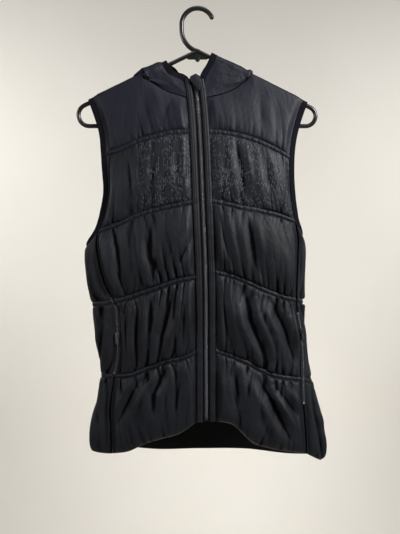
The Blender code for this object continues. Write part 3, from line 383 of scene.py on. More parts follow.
# Even path along a bound edge: spacing and rounds of easing; the stretch under the arm
BAND_STEP = 3.0
EASING_ROUNDS = 4
UNDERARM = (0.08, 0.92, 20)

# Pocket zips in the seams between front and side: top drop, bottom drop
POCKETS = {RIGHT: (512.0, 640.0), LEFT: (527.0, 697.0)}
POCKET_ROWS = 60
POCKET_TAPE_HALF = 5.0
POCKET_TAPE_MIDDLE = 2.4
POCKET_TAPE_BASE = 3.1
POCKET_TAPE_TOP = 3.9
POCKET_TOOTH = (3.2, 0.9, 1.1)
POCKET_PITCH = 1.5
# Coil: distances from the zip's two ends, shift to either side, depth in the tape, bevel
COIL_ENDS = (1.0, 4.0)
COIL_SHIFT = 0.55
COIL_SUNK = 0.1
COIL_BEVEL = 0.25
POCKET_STOP = (4.6, 3.4, 1.6)
POCKET_STOP_BEVEL = (0.4, 2)
POCKET_STOP_RISE = 3.0

# Hood behind the arms as x (for the +X side), y and drop, from the fifth row down to the
# centre seam: its face edge, the line over the arm, the line beside the neckline's top,
# the neckline's top, the back neckline and the centre back
HOOD_RIM_FREE = {
    LEFT: ((33.5, 9.5, 80), (34, 21, 86), (34, 42, 105), (22, 58, 132),
           (0.6, 62, 142)),
    RIGHT: ((62, 10, 94), (50, 23, 95), (38, 43, 108), (22, 58, 132),
            (0.6, 62, 142)),
}
HOOD_ARM_FREE = {
    LEFT: ((58, 9.5, 90), (60, 25, 93), (64, 50, 120), (48, 64, 164),
           (0.3, 70, 198)),
    RIGHT: ((79, 10.5, 94), (80, 26, 97), (80, 51, 124), (52, 65, 165),
            (0.3, 70, 198)),
}
HOOD_BESIDE_FREE = {
    LEFT: ((91, 13, 104), (94, 29, 111), (96, 52, 142), (70, 63.5, 200),
           (0.3, 69.5, 242)),
    RIGHT: ((99, 13, 98.5), (106, 29, 106), (106, 53, 146), (76, 64, 202),
            (0.3, 69.5, 242)),
}
HOOD_NECK_POINT = {
    LEFT: (
        (92, 2, 104.4), (94, 6.5, 104), (97, 11, 106), (99, 16, 110),
        (102, 23, 117.5), (106, 36, 134), (108, 51, 168), (84, 61, 238),
        (0.3, 68, 285),
    ),
    RIGHT: (
        (94.5, 2.5, 102.5), (98.5, 7.5, 100.5), (104.5, 12.5, 103.5), (110, 17.5, 108),
        (115, 24, 116), (119, 36, 133), (116, 50, 171), (87, 61, 240),
        (0.3, 68, 285),
    ),
}
HOOD_BACK_NECK = (
    (56, 14, 115), (58, 19, 112.5), (61, 25, 113), (64, 31, 117),
    (70, 36.5, 128), (80, 40, 163), (82, 43, 225), (50, 48, 300),
    (0.3, 54, 328),
)
HOOD_CENTRE_BACK = (
    (0.3, 16, 121.5), (0.3, 21, 118.5), (0.3, 27, 119), (0.3, 33, 124),
    (0.3, 38, 136), (0.3, 40.5, 168), (0.3, 42, 222), (0.3, 43.5, 272),
    (0.3, 46, 312),
)
# Face edge of the hood in front of the arm: x and drop beside the strip's top and midway,
# then x where it meets the arm and x on top of the arm
HOOD_FACE_EDGE = {
    LEFT: ((12.5, STRIP_TOP_DROP), (23.0, 100.0), 31.0, 33.0),
    RIGHT: ((-23.5, STRIP_TOP_DROP + 2.0), (-44.0, 113.5), -60.0, -64.0),
}
# Path length below the shoulder line, as (x, q), of the hood's first rows over the arm
HOOD_OVER_ARM = {
    LEFT: ((50, 38), (52, 21), (54, 8.5), (56, 0)),
    RIGHT: ((-56, 38), (-63, 21), (-70, 8.5), (-75, 0)),
}
HOOD_OVER_BESIDE = {
    LEFT: ((78, 22), (82, 13), (85, 4.2), (88, -4.2)),
    RIGHT: ((-80, 23), (-86, 14), (-91, 5), (-95, -4)),
}
HOOD_ROWS = (0.0, 0.5, 1.0, 1.5, 2.2, 3.0, 3.5, 4.0, 4.5, 5.0, 5.6, 6.3, 7.0, 7.7, 8.4, 9.0)
# Columns of a hood half at its neckline, as places between the six lines
HOOD_NECK_PLACES = (0.0, 0.33, 0.67, 1.0, 1.55, 2.0, 2.35, 2.65, 2.8, 2.9, 3.0, 3.12, 3.25,
                    3.6, 4.0, 4.5, 5.0)
HOOD_LAST = 5.0
# Neckline columns from which the lines over the arm and beside the neckline's top start
NECK_OVER_ARM = 3
NECK_BESIDE = 5
# Least distance of the hood's cloth from the arm: distance from the centre, right, left
ARM_CLEARANCE = (
    (0, 5.7, 5.7), (52, 5.7, 5.7), (65, 7.9, 5.8), (74, 9.1, 5.8), (87, 9.9, 5.9),
    (95, 10.4, 7.5), (113, 9.4, 9.4), (200, 9.4, 9.4),
)
NECK_CLEARANCE = 4.9
CLEARANCE_ROWS = 0.6
BINDING_CLEARANCE = 6.0
HOOD_RIM_ROW = 0.6
# Rows over which the columns even out and the cloth settles behind the neckline
LOOSE_ROWS = 3.0
SETTLED_ROWS = 1.5
HOOD_SMOOTHING = 2
HOOD_FINENESS = 112
# Loft, thinner on the crest over the arm: its row, its width in rows, its last line
HOOD_LOFT = 2.6
HOOD_CREST_LOFT = 0.8
HOOD_CREST_ROW = 4.0
HOOD_CREST_ROWS = 1.3
HOOD_CREST_END = 3.4
# Size of a cell of the hood's grid, as taken for the rise at its edges, the folds, the map
HOOD_EDGE_CELL = (30.0, 20.0)
HOOD_RISE = 16.0
HOOD_FOLD_CELL = (30.0, 18.0)
HOOD_MAP_CELL = 45.0
# Soft folds of the hood: spacing, height, measured in millimetres over its cloth
HOOD_FOLDS = ((46.0, 1.5), (19.0, 0.7), (8.0, 0.25))
HOOD_FOLD_SHIFT = 3.0
HOOD_WAVE = 0.6
HOOD_CREASE = 0.5

# Stitching: half sizes of a stitch, spacing, the step that shows its direction, and the
# columns without a stitch at the ends of a seam
STITCH = (0.34, 1.25, 0.3)
STITCH_PITCH = 3.3
STITCH_PROBE = 0.5
SEAM_INSET = 2

# Meshes: angle of a sharp edge, distance within which points are one, and the names of the
# cloth map, of the points' numbers and of the layers of values that the finishes read
SHARP_ANGLE = 50.0
MERGED = 0.01
CLOTH_MAP = "cloth"
NUMBER = "number"
PRINTED = "printed"
DRAWN = "drawn"
HOLLOW_SHADE = "hollow"
PAINTED_COOL_LIGHT = "painted_cool_light"
VEST = "vest"


def mix(first, second, part):
    return first + (second - first) * part


def smoothstep(part):
    part = np.clip(part, 0.0, 1.0)
    return part * part * (3.0 - 2.0 * part)


def curve(at, knots, values):
    """Smooth curve through the values at rising knots."""
    knots = np.asarray(knots, float)
    values = np.asarray(values, float)
    slope = np.gradient(values, knots)
    at = np.clip(at, knots[0], knots[-1])
    i = np.clip(np.searchsorted(knots, at) - 1, 0, len(knots) - 2)
    span = knots[i + 1] - knots[i]
    u = (at - knots[i]) / span
    rise = u * u * (3.0 - 2.0 * u)
    leave = u * (1.0 - u) ** 2 * span * slope[i]
    arrive = u * u * (u - 1.0) * span * slope[i + 1]
    return mix(values[i], values[i + 1], rise) + leave + arrive


def column(rows, number):
    return [row[number] for row in rows]


def by_drop(rows, number, drop):
    return curve(drop, column(rows, 0), column(rows, number))


def by_side(side):
    """Column of a table that holds a side's values: 1 right, 2 left."""
    return 1 if side == RIGHT else 2


def unit(vectors):
    return vectors / np.linalg.norm(vectors, axis=-1, keepdims=True)


# ---------------------------------------------------------------- the body's surface

def arm_drop(x):
    return APEX_DROP + ARM_SLOPE * np.abs(x) + ARM_TILT * x


def shoulder_drop(x):
    return arm_drop(x) - ROLL


def fall(q):
    """Drop below the shoulder line after the path length q over the roll."""
    bend = ROLL * (1.0 - np.cos(np.minimum(np.abs(q), QUARTER_ROLL) / ROLL))
    return bend + np.maximum(np.abs(q) - QUARTER_ROLL, 0.0)


def path_of_fall(height):
    """Path length q over the roll that drops by the height."""
    bend = ROLL * np.arccos(1.0 - np.clip(height, 0.0, ROLL) / ROLL)
    return np.where(height < ROLL, bend, height - ROLL + QUARTER_ROLL)


def roll(q):
    return np.sin(np.clip(q / ROLL, -math.pi / 2, math.pi / 2))


def quarter_oval():
    """Half width, depth and path share of the body's outline, from its centre to its side."""
    angle = np.linspace(0.0, math.pi / 2, OVAL_STEPS)
    wide = np.sin(angle) ** (2 / ROUNDNESS)
    deep = np.cos(angle) ** (2 / ROUNDNESS)
    steps = np.hypot(np.diff(wide), FLATNESS * np.diff(deep))
    path = np.concatenate(([0.0], np.cumsum(steps)))
    return wide, deep, path / path[-1]


OVAL_WIDE, OVAL_DEEP, OVAL_PATH = quarter_oval()


def middle_and_half(drop):
    right = by_drop(BODY, 1, drop)
    left = by_drop(BODY, 2, drop)
    return (right + left) / 2, (left - right) / 2


def body_x(side, place, drop):
    """x of a place around the body: 0 centre front, 1 side, 2 centre back."""
    folded = np.where(place <= 1.0, place, 2.0 - place)
    middle, half = middle_and_half(drop)
    return middle + side * half * np.sign(folded) * np.interp(np.abs(folded), OVAL_PATH, OVAL_WIDE)


def place_of_x(side, x, drop):
    middle, half = middle_and_half(drop)
    wide = side * (x - middle) / half
    return np.sign(wide) * np.interp(np.abs(wide), OVAL_WIDE, OVAL_PATH)


def cloth(side, place, drop, turn=1.0):
    """Point of the body's inner surface. Turn runs from -1 to 1 over the hanger's arm."""
    x = body_x(side, place, drop)
    folded = np.abs(np.where(place <= 1.0, place, 2.0 - place))
    deep = np.interp(folded, OVAL_PATH, OVAL_DEEP)
    face = np.where(place <= 1.0, -1.0, 1.0)
    depth = np.where(face < 0, by_drop(BODY, 3, drop), by_drop(BODY, 4, drop))
    lift = ROLL * (1.0 - smoothstep((drop - FADE_START) / FADE_LENGTH))
    bulge = smoothstep((drop - shoulder_drop(x) - ROLL) / BULGE_LENGTH)
    y = face * (lift * turn + (depth - lift) * bulge * deep)
    return np.stack(np.broadcast_arrays(x, y, -drop), axis=-1)


def hang(side, q, place_at):
    """Point at the path length q below the shoulder line, on the line that place_at gives."""
    drop = FIRST_DROP + np.abs(q)
    for _ in range(HANG_ROUNDS):
        place = place_at(drop)
        drop = shoulder_drop(body_x(side, place, drop)) + fall(q)
    return cloth(side, place_at(drop), drop, roll(q))


def q_at_drop(side, drop, place_at):
    return path_of_fall(drop - shoulder_drop(body_x(side, place_at(drop), drop)))


def normals(point, first, second, step_first, step_second):
    along = point(first + step_first, second) - point(first - step_first, second)
    down = point(first, second + step_second) - point(first, second - step_second)
    return unit(np.cross(down, along))


# ---------------------------------------------------------------- panels of the body

def zip_x(drop):
    return by_drop(ZIP_LINE, 1, drop)


def outer_place(side, drop):
    return place_of_x(side, by_drop(OUTER_EDGE, by_side(side), drop), drop)


def back_place(side, drop):
    """Place of the back panel's outer edge: the armhole, then the seam to the side panel."""
    blend = smoothstep((drop - BACK_SEAM_START) / BACK_SEAM_BLEND)
    return mix(2.0 - outer_place(side, drop), by_drop(BACK_SEAM, by_side(side), drop), blend)


def front_place(side, across, drop, gap=0.0):
    """Place on a front: across runs from 0 at the zip strip to 1 at the outer edge."""
    inner = place_of_x(side, zip_x(drop) + side * FRONT_INNER, drop)
    outer = outer_place(side, drop) - gap / middle_and_half(drop)[1]
    return mix(inner, outer, across)


def front_point(side, across, q):
    return hang(side, q, lambda drop: front_place(side, across, drop, GAP / 2))


def back_signed_place(across, drop, gap):
    """Place on the back from its centre: below 0 to the right, above 0 to the left."""
    spare = gap / middle_and_half(drop)[1]
    right = -(2.0 - back_place(RIGHT, drop)) + spare
    left = (2.0 - back_place(LEFT, drop)) - spare
    return mix(right, left, across)


def back_point(across, q):
    def solve(side):
        return hang(side, q, lambda drop: 2.0 - side * back_signed_place(across, drop, GAP / 2))

    right = solve(RIGHT)
    left = solve(LEFT)
    probe = back_signed_place(across, -left[..., 2], GAP / 2)
    return np.where((probe > 0)[..., None], left, right)


def level(values, across):
    return curve(across, np.linspace(0.0, 1.0, len(values)), values)


def neck_q(x, number):
    return np.interp(np.abs(x), column(NECKLINE, 0), column(NECKLINE, number))


def even_columns(count, width):
    """Even places from 0 to 1 with a narrow first and last column."""
    edge = EDGE_COLUMN / width
    return np.concatenate(([0.0], np.linspace(edge, 1.0 - edge, count - 1), [1.0]))


def loft_shape(part):
    return np.sin(math.pi * np.clip(part, 0.0, 1.0)) ** LOFT_POWER


def edge_shape(distance):
    return smoothstep((distance - EDGE_FLAT) / EDGE_RISE)


def front_columns(side):
    """Places across a front at its top edge and, evenly spread, below the yoke."""
    x = side * np.array(FRONT_TOP)
    drop = shoulder_drop(x) + fall(neck_q(x, 1))
    inner = front_place(side, 0.0, drop)
    top = (place_of_x(side, x, drop) - inner) / (front_place(side, 1.0, drop) - inner)
    top[0] = 0.0
    top[-1] = 1.0
    return top, even_columns(len(x) - 1, side * (x[-1] - x[0]))


def back_columns():
    """Places across the back at its top edge and, evenly spread, below the yoke."""
    x = np.array(BACK_TOP)
    halves = []
    for side in (RIGHT, LEFT):
        drop = shoulder_drop(side * x) + fall(neck_q(x, 2))
        signed = side * place_of_x(side, side * x, drop)
        low = back_signed_place(0.0, drop, 0.0)
        high = back_signed_place(1.0, drop, 0.0)
        halves.append((signed - low) / (high - low))
    top = np.concatenate((halves[0][:0:-1], halves[1]))
    top[0] = 0.0
    top[-1] = 1.0
    return top, even_columns(len(top) - 1, x[-1] * 2)


def front_normals(side, across, q):
    return side * normals(lambda a, b: front_point(side, a, b), across, q, FRONT_STEP, DOWN_STEP)


def back_normals(across, q):
    return -normals(back_point, across, q, BACK_STEP, DOWN_STEP)


def side_place(side, across, drop):
    spare = GAP / 2 / middle_and_half(drop)[1]
    front = outer_place(side, drop) + spare
    back = back_place(side, drop) - spare
    return mix(front, back, across)


def side_point(side, across, drop):
    return cloth(side, side_place(side, across, drop), drop)


def side_levels(side, across):
    """Drops of the side panel's top edge, its two seams and its hem."""
    back_end = 0 if side == RIGHT else -1
    levels = []
    for front_values, back_values in zip(FRONT_LEVELS[side][1:], BACK_LEVELS[1:]):
        levels.append(mix(front_values[-1], back_values[back_end], across))
    levels[0] = levels[0] + SIDE_TOP_DIP * np.sin(math.pi * across)
    return levels


# ---------------------------------------------------------------- points at a given x

def front_at_q(x, q):
    """Point of the cloth in front at a given x, by path length below the shoulder line."""
    x = np.asarray(x, float)
    drop = shoulder_drop(x) + fall(q)
    side = np.where(x < middle_and_half(drop)[0], RIGHT, LEFT)
    return cloth(side, place_of_x(side, x, drop), drop, roll(q))


def front_at(x, drop):
    return front_at_q(x, path_of_fall(drop - shoulder_drop(np.asarray(x, float))))


def front_normal(x, drop):
    q = path_of_fall(drop - shoulder_drop(x))
    return normals(front_at_q, x, q, X_STEP, DOWN_STEP)


def pocket_frame(side, drop):
    """Point on the pocket seam with its across, outward and upward directions."""
    def seam(at):
        return cloth(side, outer_place(side, at), at)

    out = side * normals(lambda a, b: side_point(side, a, b), 0.0, drop, SIDE_STEP, DOWN_STEP)
    up = unit(seam(drop - POCKET_STEP) - seam(drop + POCKET_STEP))
    across = unit(np.cross(out, up))
    return seam(drop), across, np.cross(up, across), up


def clear_of_arm(points, clearance):
    """Move points that lie too near the hanger's arm straight away from it."""
    below = (-points[..., 2] - arm_drop(points[..., 0])) / ARM_LENGTHENING
    distance = np.hypot(points[..., 1], below)
    grow = np.maximum(clearance / np.maximum(distance, LEAST_DISTANCE), 1.0) - 1.0
    moved = points.copy()
    moved[..., 1] += points[..., 1] * grow
    moved[..., 2] -= below * grow * ARM_LENGTHENING
    return moved


def smooth_lines(at, knots, lines):
    """Smooth curves through points at rising knots, one curve for every coordinate."""
    return np.stack([curve(at, knots, lines[:, k]) for k in range(lines.shape[1])], axis=-1)


def smooth_grid(points, first, second):
    """Smooth surface through a grid of points, read at the given row and column places."""
    rows = np.arange(points.shape[0])
    columns = np.arange(points.shape[1])
    along = np.stack([smooth_lines(first, rows, points[:, j]) for j in columns], 1)
    return np.stack([smooth_lines(second, columns, along[i]) for i in range(len(first))], 0)


def hood_stations(side):
    """Points of the hood half on six lines that leave the neckline, ten rows each."""
    def free(rows):
        x, y, drop = np.array(rows).T
        higher_arm = ARM_TILT * (x - side * x)
        return np.stack((side * x, y, higher_arm - drop), axis=-1)

    def over_arm(rows):
        return [front_at_q(x, q) for x, q in rows]

    neck = neck_edge(side)[0]
    edge = HOOD_FACE_EDGE[side]
    rim = [neck[0]] + [front_at(x, drop) for x, drop in edge[:2]]
    rim += over_arm(((edge[2], ROLL * math.pi / 2), (edge[3], 0.0)))
    over = [neck[NECK_OVER_ARM]] + over_arm(HOOD_OVER_ARM[side])
    beside = [neck[NECK_BESIDE]] + over_arm(HOOD_OVER_BESIDE[side])
    return np.array((
        np.vstack((rim, free(HOOD_RIM_FREE[side]))),
        np.vstack((over, free(HOOD_ARM_FREE[side]))),
        np.vstack((beside, free(HOOD_BESIDE_FREE[side]))),
        np.vstack(([neck[NECK_COLUMNS]], free(HOOD_NECK_POINT[side]))),
        np.vstack(([neck[-3]], free(HOOD_BACK_NECK))),
        np.vstack(([neck[-1]], free(HOOD_CENTRE_BACK))),
    ))


def hood_clearance(side, x, row):
    rows = column(ARM_CLEARANCE, by_side(side))
    beside = np.interp(np.abs(x), column(ARM_CLEARANCE, 0), rows)
    return mix(NECK_CLEARANCE, beside, smoothstep(row / CLEARANCE_ROWS))


def both_halves(half):
    """Values to the right of the centre, the centre and the values to its left."""
    return np.concatenate((-half[:0:-1], half))


def neck_edge(side):
    """Edge of the hood at the neckline, from the zip to the centre back, and its normals."""
    front = slice(0, NECK_COLUMNS)
    across = front_columns(side)[0]
    q = neck_q(np.array(FRONT_TOP), 1)[front]
    points = front_point(side, across[front], q)
    outs = front_normals(side, across[front], q)
    crest_point = front_at_q(side * FRONT_TOP[NECK_COLUMNS], 0.0)
    crest_out = front_normals(side, across[NECK_COLUMNS], CREST_PATH)
    middle = len(BACK_TOP) - 1
    back = middle + side * np.arange(BACK_NECK_COLUMNS - 1, -1, -1)
    across = back_columns()[0][back]
    q = neck_q(both_halves(np.array(BACK_TOP)), 2)[back]
    points = np.vstack((points, [crest_point], back_point(across, q)))
    outs = np.vstack((outs, [crest_out], back_normals(across, q)))
    along = np.gradient(points, axis=0)
    inward = side * unit(np.cross(outs, along))
    edge = points + inward * NECK_GAP
    edge[0] = front_at(zip_x(-edge[0, 2]) + side * (FRONT_INNER + GAP / 2), -edge[0, 2])
    edge[-1, 0] = side * GAP / 2
    return edge, outs


# ---------------------------------------------------------------- uneven cloth

def crowded(count):
    """Places from 0 to 1, closer together near both ends."""
    even = np.linspace(0.0, 1.0, count)
    return even - CROWDING * np.sin(2.0 * math.pi * even) / (2.0 * math.pi)


def wave_line(at, seed):
    """Smooth uneven wave between -1 and 1; its knots are 1 apart."""
    knots = np.random.default_rng(seed).uniform(-1.0, 1.0, LINE_KNOTS)
    whole = np.floor(at).astype(int)
    near, far = knots[whole % LINE_KNOTS], knots[(whole + 1) % LINE_KNOTS]
    return mix(near, far, smoothstep(at - whole))


def wave_field(first, second, seed):
    """The same over a surface."""
    count = FIELD_KNOTS
    knots = np.random.default_rng(seed).uniform(-1.0, 1.0, (count, count))
    i = np.floor(first).astype(int)
    j = np.floor(second).astype(int)
    u = smoothstep(first - i)
    v = smoothstep(second - j)
    near = mix(knots[i % count, j % count], knots[(i + 1) % count, j % count], u)
    far = mix(knots[i % count, (j + 1) % count], knots[(i + 1) % count, (j + 1) % count], u)
    return mix(near, far, v)


def swelling(at, waves):
    """Uneven factor around 1 along a line; every wave is its share, length and seed."""
    total = np.ones(len(at))
    for share, length, seed in waves:
        total = total + share * wave_line(at / length, seed)
    return total


def creased(wave):
    """Turns a smooth wave into round ridges with sharp creases between them."""
    return GATHER_RIDGE * np.abs(wave) ** CREASE_POWER - GATHER_FLOOR


def gathers(along, away, seed):
    """Height of the small gathers that a quilt seam draws up in the cloth beside it."""
    total = np.zeros_like(along)
    least, varying, length = GATHER_STRENGTH
    for number, (spacing, height, reach) in enumerate(GATHERS):
        leaning = wave_line(along / GATHER_LEAN_LENGTH + number * LEAN_SHIFT, seed + LEAN_SEED)
        wave = wave_line((along + GATHER_LEAN * leaning * away) / spacing + GATHER_SHIFT * number,
                         seed + number)
        strength = least + varying * wave_line(along / length, seed + STRENGTH_SEED + number)
        total += height * strength * creased(wave) * np.exp(-away / reach)
    return total * (1.0 - np.exp(-away / STITCH_PULL))


def soft_folds(along, down, lean, seed):
    """Height of the soft folds in which padded cloth hangs."""
    total = np.zeros_like(along)
    sway, length_of_sway = SOFT_SWAY
    for number, (across, length, height) in enumerate(SOFT_FOLDS):
        turned = along - lean * down + sway * wave_line(down / length_of_sway, seed + SWAY_SEED)
        wave = wave_field(turned / across + SOFT_SHIFT * number, down / length, seed + number)
        total += height * (wave + SOFT_CREASE * creased(wave))
    return total


def fold_height(first, second, folds):
    """Height of the main folds, each a crease between two low ridges, at the given points."""
    total = np.zeros(first.shape)
    for points, half_width, depth in folds:
        nearest = np.full(first.shape, np.inf)
        fade = np.zeros(first.shape)
        lengths = [math.dist(a, b) for a, b in zip(points, points[1:])]
        before = 0.0
        for (x1, y1), (x2, y2), length in zip(points, points[1:], lengths):
            share = ((first - x1) * (x2 - x1) + (second - y1) * (y2 - y1)) / length ** 2
            share = np.clip(share, 0.0, 1.0)
            distance = np.hypot(first - mix(x1, x2, share), second - mix(y1, y2, share))
            closer = distance < nearest
            nearest = np.where(closer, distance, nearest)
            whole = mix(*FOLD_ENDS, (before + share * length) / sum(lengths))
            fade = np.where(closer, np.sin(math.pi * np.clip(whole, 0, 1)), fade)
            before += length
        away = nearest / half_width
        crease = mix(np.exp(-away ** 2), np.exp(-FOLD_SHARPNESS * away), FOLD_CREASE)
        rim = FOLD_RIM * np.exp(-((away - FOLD_RIM_PLACE) / FOLD_RIM_WIDTH) ** 2)
        total += FOLD_DEPTH * depth * fade * (rim - crease)
    return total


# ---------------------------------------------------------------- quilted panels

def hem_shape(part):
    """The hem band stays full almost to its edge, where it is turned under."""
    lower = 1.0 - np.abs(2.0 * part - 1.0) ** HEM_ROLL
    return np.where(part < 0.5, loft_shape(part), lower)


def row_plan(first_band):
    """Band, part of it, and whether in a stitched channel, of every row of a panel."""
    plan = []
    for band in range(first_band, HEM + 1):
        plan += [(band, part, False) for part in crowded(BAND_ROWS)]
        if band < HEM:
            plan += [(band, part, True) for part in CHANNEL_PARTS]
    return plan


def row_drop(levels, band, part, in_channel):
    if in_channel:
        return levels[band] + CHANNEL * (part - 0.5)
    low_margin = 0.0 if band == HEM else CHANNEL / 2
    return mix(levels[band - 1] + CHANNEL / 2, levels[band] - low_margin, part)


def grid_paths(points):
    """Path lengths over a grid of points, along its rows and down its columns."""
    along = np.linalg.norm(np.diff(points, axis=1), axis=2)
    down = np.linalg.norm(np.diff(points, axis=0), axis=2)
    along = np.concatenate((np.zeros((len(points), 1)), np.cumsum(along, axis=1)), axis=1)
    down = np.concatenate((np.zeros((1, points.shape[1])), np.cumsum(down, axis=0)), axis=0)
    return along, down


def grid_normals(points, turn):
    return turn * unit(np.cross(np.gradient(points, axis=0), np.gradient(points, axis=1)))


def hollows(height):
    """How deep every place lies below the cloth around it, from 0 to 1; the finish paints shade into the
    hollows by it.
    """
    around = np.zeros_like(height)
    steps = range(-HOLLOW_STEPS, HOLLOW_STEPS + 1)
    padded = np.pad(height, HOLLOW_STEPS, mode="edge")
    rows, columns = height.shape
    for step in steps:
        first = HOLLOW_STEPS + step
        around += padded[HOLLOW_STEPS:HOLLOW_STEPS + rows, first:first + columns]
    return np.clip((around / len(steps) - height) / HOLLOW_DEPTH, 0.0, 1.0)


def quilted(base, turn, plan, lofts, folds, lean, seed, ridge=CHANNEL_RIDGE, floor=STITCHED):
    """Outer points, outward directions, cloth map, stitch rows and layers of a quilted panel."""
    out = grid_normals(base, turn)
    along, down = grid_paths(base)
    from_side = np.minimum(along, along[:, -1:] - along)
    edge = edge_shape(from_side)
    height = np.full(along.shape, floor)
    pulled = np.full(along.shape, CHANNEL_PULL)
    stitch_rows = []
    first_band = plan[0][0]
    for band in range(first_band, HEM + 1):
        numbers = [i for i, row in enumerate(plan) if row[0] == band and not row[2]]
        first, last = numbers[0], numbers[-1]
        rows = slice(first, last + 1)
        part = np.array([row[1] for row in plan[rows]])[:, None]
        shape = hem_shape(part) if band == HEM else loft_shape(part)
        here, at = along[rows], down[rows]
        loose = soft_folds(here, at, lean, seed + BAND_SEED * band)
        loose = loose + fold_height(base[rows, :, 0], -base[rows, :, 2], folds)
        puff = (lofts[band] + LOOSENESS[band] * loose) * shape * edge[rows]
        drawn = np.zeros_like(here)
        pulled[rows] = 0.0
        if band > first_band:
            above = GATHERING[band - 1]
            drawn += above * gathers(here, at - down[first], seed + ABOVE_SEED + band)
            pulled[rows] += above * np.exp(-(at - down[first]) / PULL_REACH)
            stitch_rows.append(first)
        drawn += GATHERING[band] * gathers(here, down[last] - at, seed + BELOW_SEED + band)
        pulled[rows] += GATHERING[band] * np.exp(-(down[last] - at) / PULL_REACH)
        if band < HEM:
            stitch_rows.append(last)
        height[rows] = np.maximum(floor + puff + drawn * edge[rows], THINNEST)
    ripple, ripple_length = CHANNEL_RIPPLE
    for i, (band, part, in_channel) in enumerate(plan):
        if in_channel:
            uneven = 1.0 + ripple * wave_line(along[i] / ripple_length, seed + CHANNEL_SEED + band)
            height[i] += ridge * math.sin(math.pi * part) ** CHANNEL_POWER * uneven
    rim = np.minimum(from_side, np.minimum(down, down[-1] - down))
    rounding = np.sqrt(1.0 - (1.0 - np.clip(rim / EDGE_ROUND, 0.0, 1.0)) ** 2)
    height *= mix(EDGE_THIN, 1.0, rounding)
    middle = along[:, along.shape[1] // 2][:, None]
    cloth_at = np.stack((along - middle, down), axis=-1) * MM
    # The yoke rows are painted with cool light in the finish: painted light.
    upper = np.array([float(row[0] == YOKE) for row in plan])[:, None] * np.ones_like(height)
    # The hollows are painted darker in the finish: painted shade.
    layers = {DRAWN: pulled, HOLLOW_SHADE: hollows(height), PAINTED_COOL_LIGHT: upper}
    return base + out * height[..., None], out, cloth_at, stitch_rows, layers


def panel_rows(plan, levels, across, top, top_q, q_of):
    """Places across and path lengths q of all points of a panel that hangs from the shoulder."""
    yoke_end = q_of(levels[YOKE] - CHANNEL / 2)
    places, q = [], []
    for band, part, in_channel in plan:
        if band == YOKE and not in_channel:
            places.append(mix(top, across, smoothstep(part)))
            q.append(mix(top_q, yoke_end, part))
        else:
            places.append(across)
            q.append(q_of(row_drop(levels, band, part, in_channel)))
    return np.array(places), np.array(q)


def front_base(side, plan):
    """Inner points of a front and the path length q of every one."""
    top_places, even = front_columns(side)
    across = crowded(FRONT_COLUMNS)
    top = np.interp(across, even, top_places)
    top_q = neck_q(np.interp(across, even, FRONT_TOP), 1)
    levels = [level(values, across) for values in FRONT_LEVELS[side]]

    def q_of(drop):
        return q_at_drop(side, drop, lambda at: front_place(side, across, at, GAP / 2))

    places, q = panel_rows(plan, levels, across, top, top_q, q_of)
    return front_point(side, places, q), q


def back_base(plan):
    """Inner points of the back and the path length q of every one."""
    top_places, even = back_columns()
    across = crowded(BACK_COLUMNS)
    top = np.interp(across, even, top_places)
    top_q = neck_q(np.interp(across, even, both_halves(np.array(BACK_TOP))), 2)
    levels = [level(values, across) for values in BACK_LEVELS]

    def q_of(drop):
        signed = back_signed_place(across, drop, GAP / 2)
        x = np.where(signed > 0, body_x(LEFT, 2.0 - signed, drop), body_x(RIGHT, 2.0 + signed, drop))
        return path_of_fall(drop - shoulder_drop(x))

    places, q = panel_rows(plan, levels, across, top, top_q, q_of)
    return back_point(places, q), q


def side_base(side, plan):
    across = crowded(SIDE_COLUMNS)
    levels = [None] + side_levels(side, across)
    drops = [row_drop(levels, *row) for row in plan]
    return side_point(side, across, np.array(drops))


# ---------------------------------------------------------------- meshes

def grid_mesh(points, cloth_at):
    """Open sheet of quads through a grid of points, with its cloth map in metres."""
    rows, columns = points.shape[:2]
    bm = bmesh.new()
    number = bm.verts.layers.int.new(NUMBER)
    bmesh.ops.create_grid(bm, x_segments=columns - 1, y_segments=rows - 1, size=1.0)
    flat = (points.reshape(-1, 3) * MM).tolist()
    for count, vert in enumerate(bm.verts):
        vert[number] = count
        vert.co = flat[count]
    cloth_map = bm.loops.layers.uv.new(CLOTH_MAP)
    flat = cloth_at.reshape(-1, 2).tolist()
    for face in bm.faces:
        for loop in face.loops:
            loop[cloth_map].uv = flat[loop.vert[number]]
    return bm


def finish(name, bm, finishes):
    """Turns the mesh into a piece of the vest."""
    bmesh.ops.recalc_face_normals(bm, faces=bm.faces)
    mesh = bpy.data.meshes.new(name)
    bm.to_mesh(mesh)
    bm.free()
    mesh.shade_smooth()
    mesh.set_sharp_from_angle(angle=math.radians(SHARP_ANGLE))
    for made in finishes:
        mesh.materials.append(made)
    piece = bpy.data.objects.new(name, mesh)
    bpy.context.collection.objects.link(piece)
    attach(piece, VEST)
    return piece


def extruded(bm, faces):
    """Extrudes faces and gives back the new points."""
    grown = bmesh.ops.extrude_face_region(bm, geom=faces)
    return [part for part in grown["geom"] if isinstance(part, bmesh.types.BMVert)]


def plate(bm, points, by):
    """Flat plate: a face through the points, pushed out."""
    face = bm.faces.new([bm.verts.new(point) for point in points])
    bmesh.ops.translate(bm, verts=extruded(bm, [face]), vec=by)


def bevelled(bm, edges, width, segments):
    bmesh.ops.bevel(bm, geom=edges, offset=width * MM, segments=segments, affect="EDGES",
                    profile=0.5, material=-1)


def wall(name, inner, outer, cloth_at, finishes, layers):
    """Closed wall of cloth between two grids of points: shell outside, lining inside."""
    bm = grid_mesh(inner, cloth_at)
    number = bm.verts.layers.int[NUMBER]
    lining = bm.faces[:]
    flat = (outer.reshape(-1, 3) * MM).tolist()
    for vert in extruded(bm, bm.faces[:]):
        vert.co = flat[vert[number]]
    for face in lining:
        face.material_index = 1
    for label, values in layers.items():
        layer = bm.verts.layers.float.new(label)
        number = bm.verts.layers.int[NUMBER]
        flat = values.reshape(-1).tolist()
        for vert in bm.verts:
            vert[layer] = flat[vert[number]]
    return finish(name, bm, finishes)


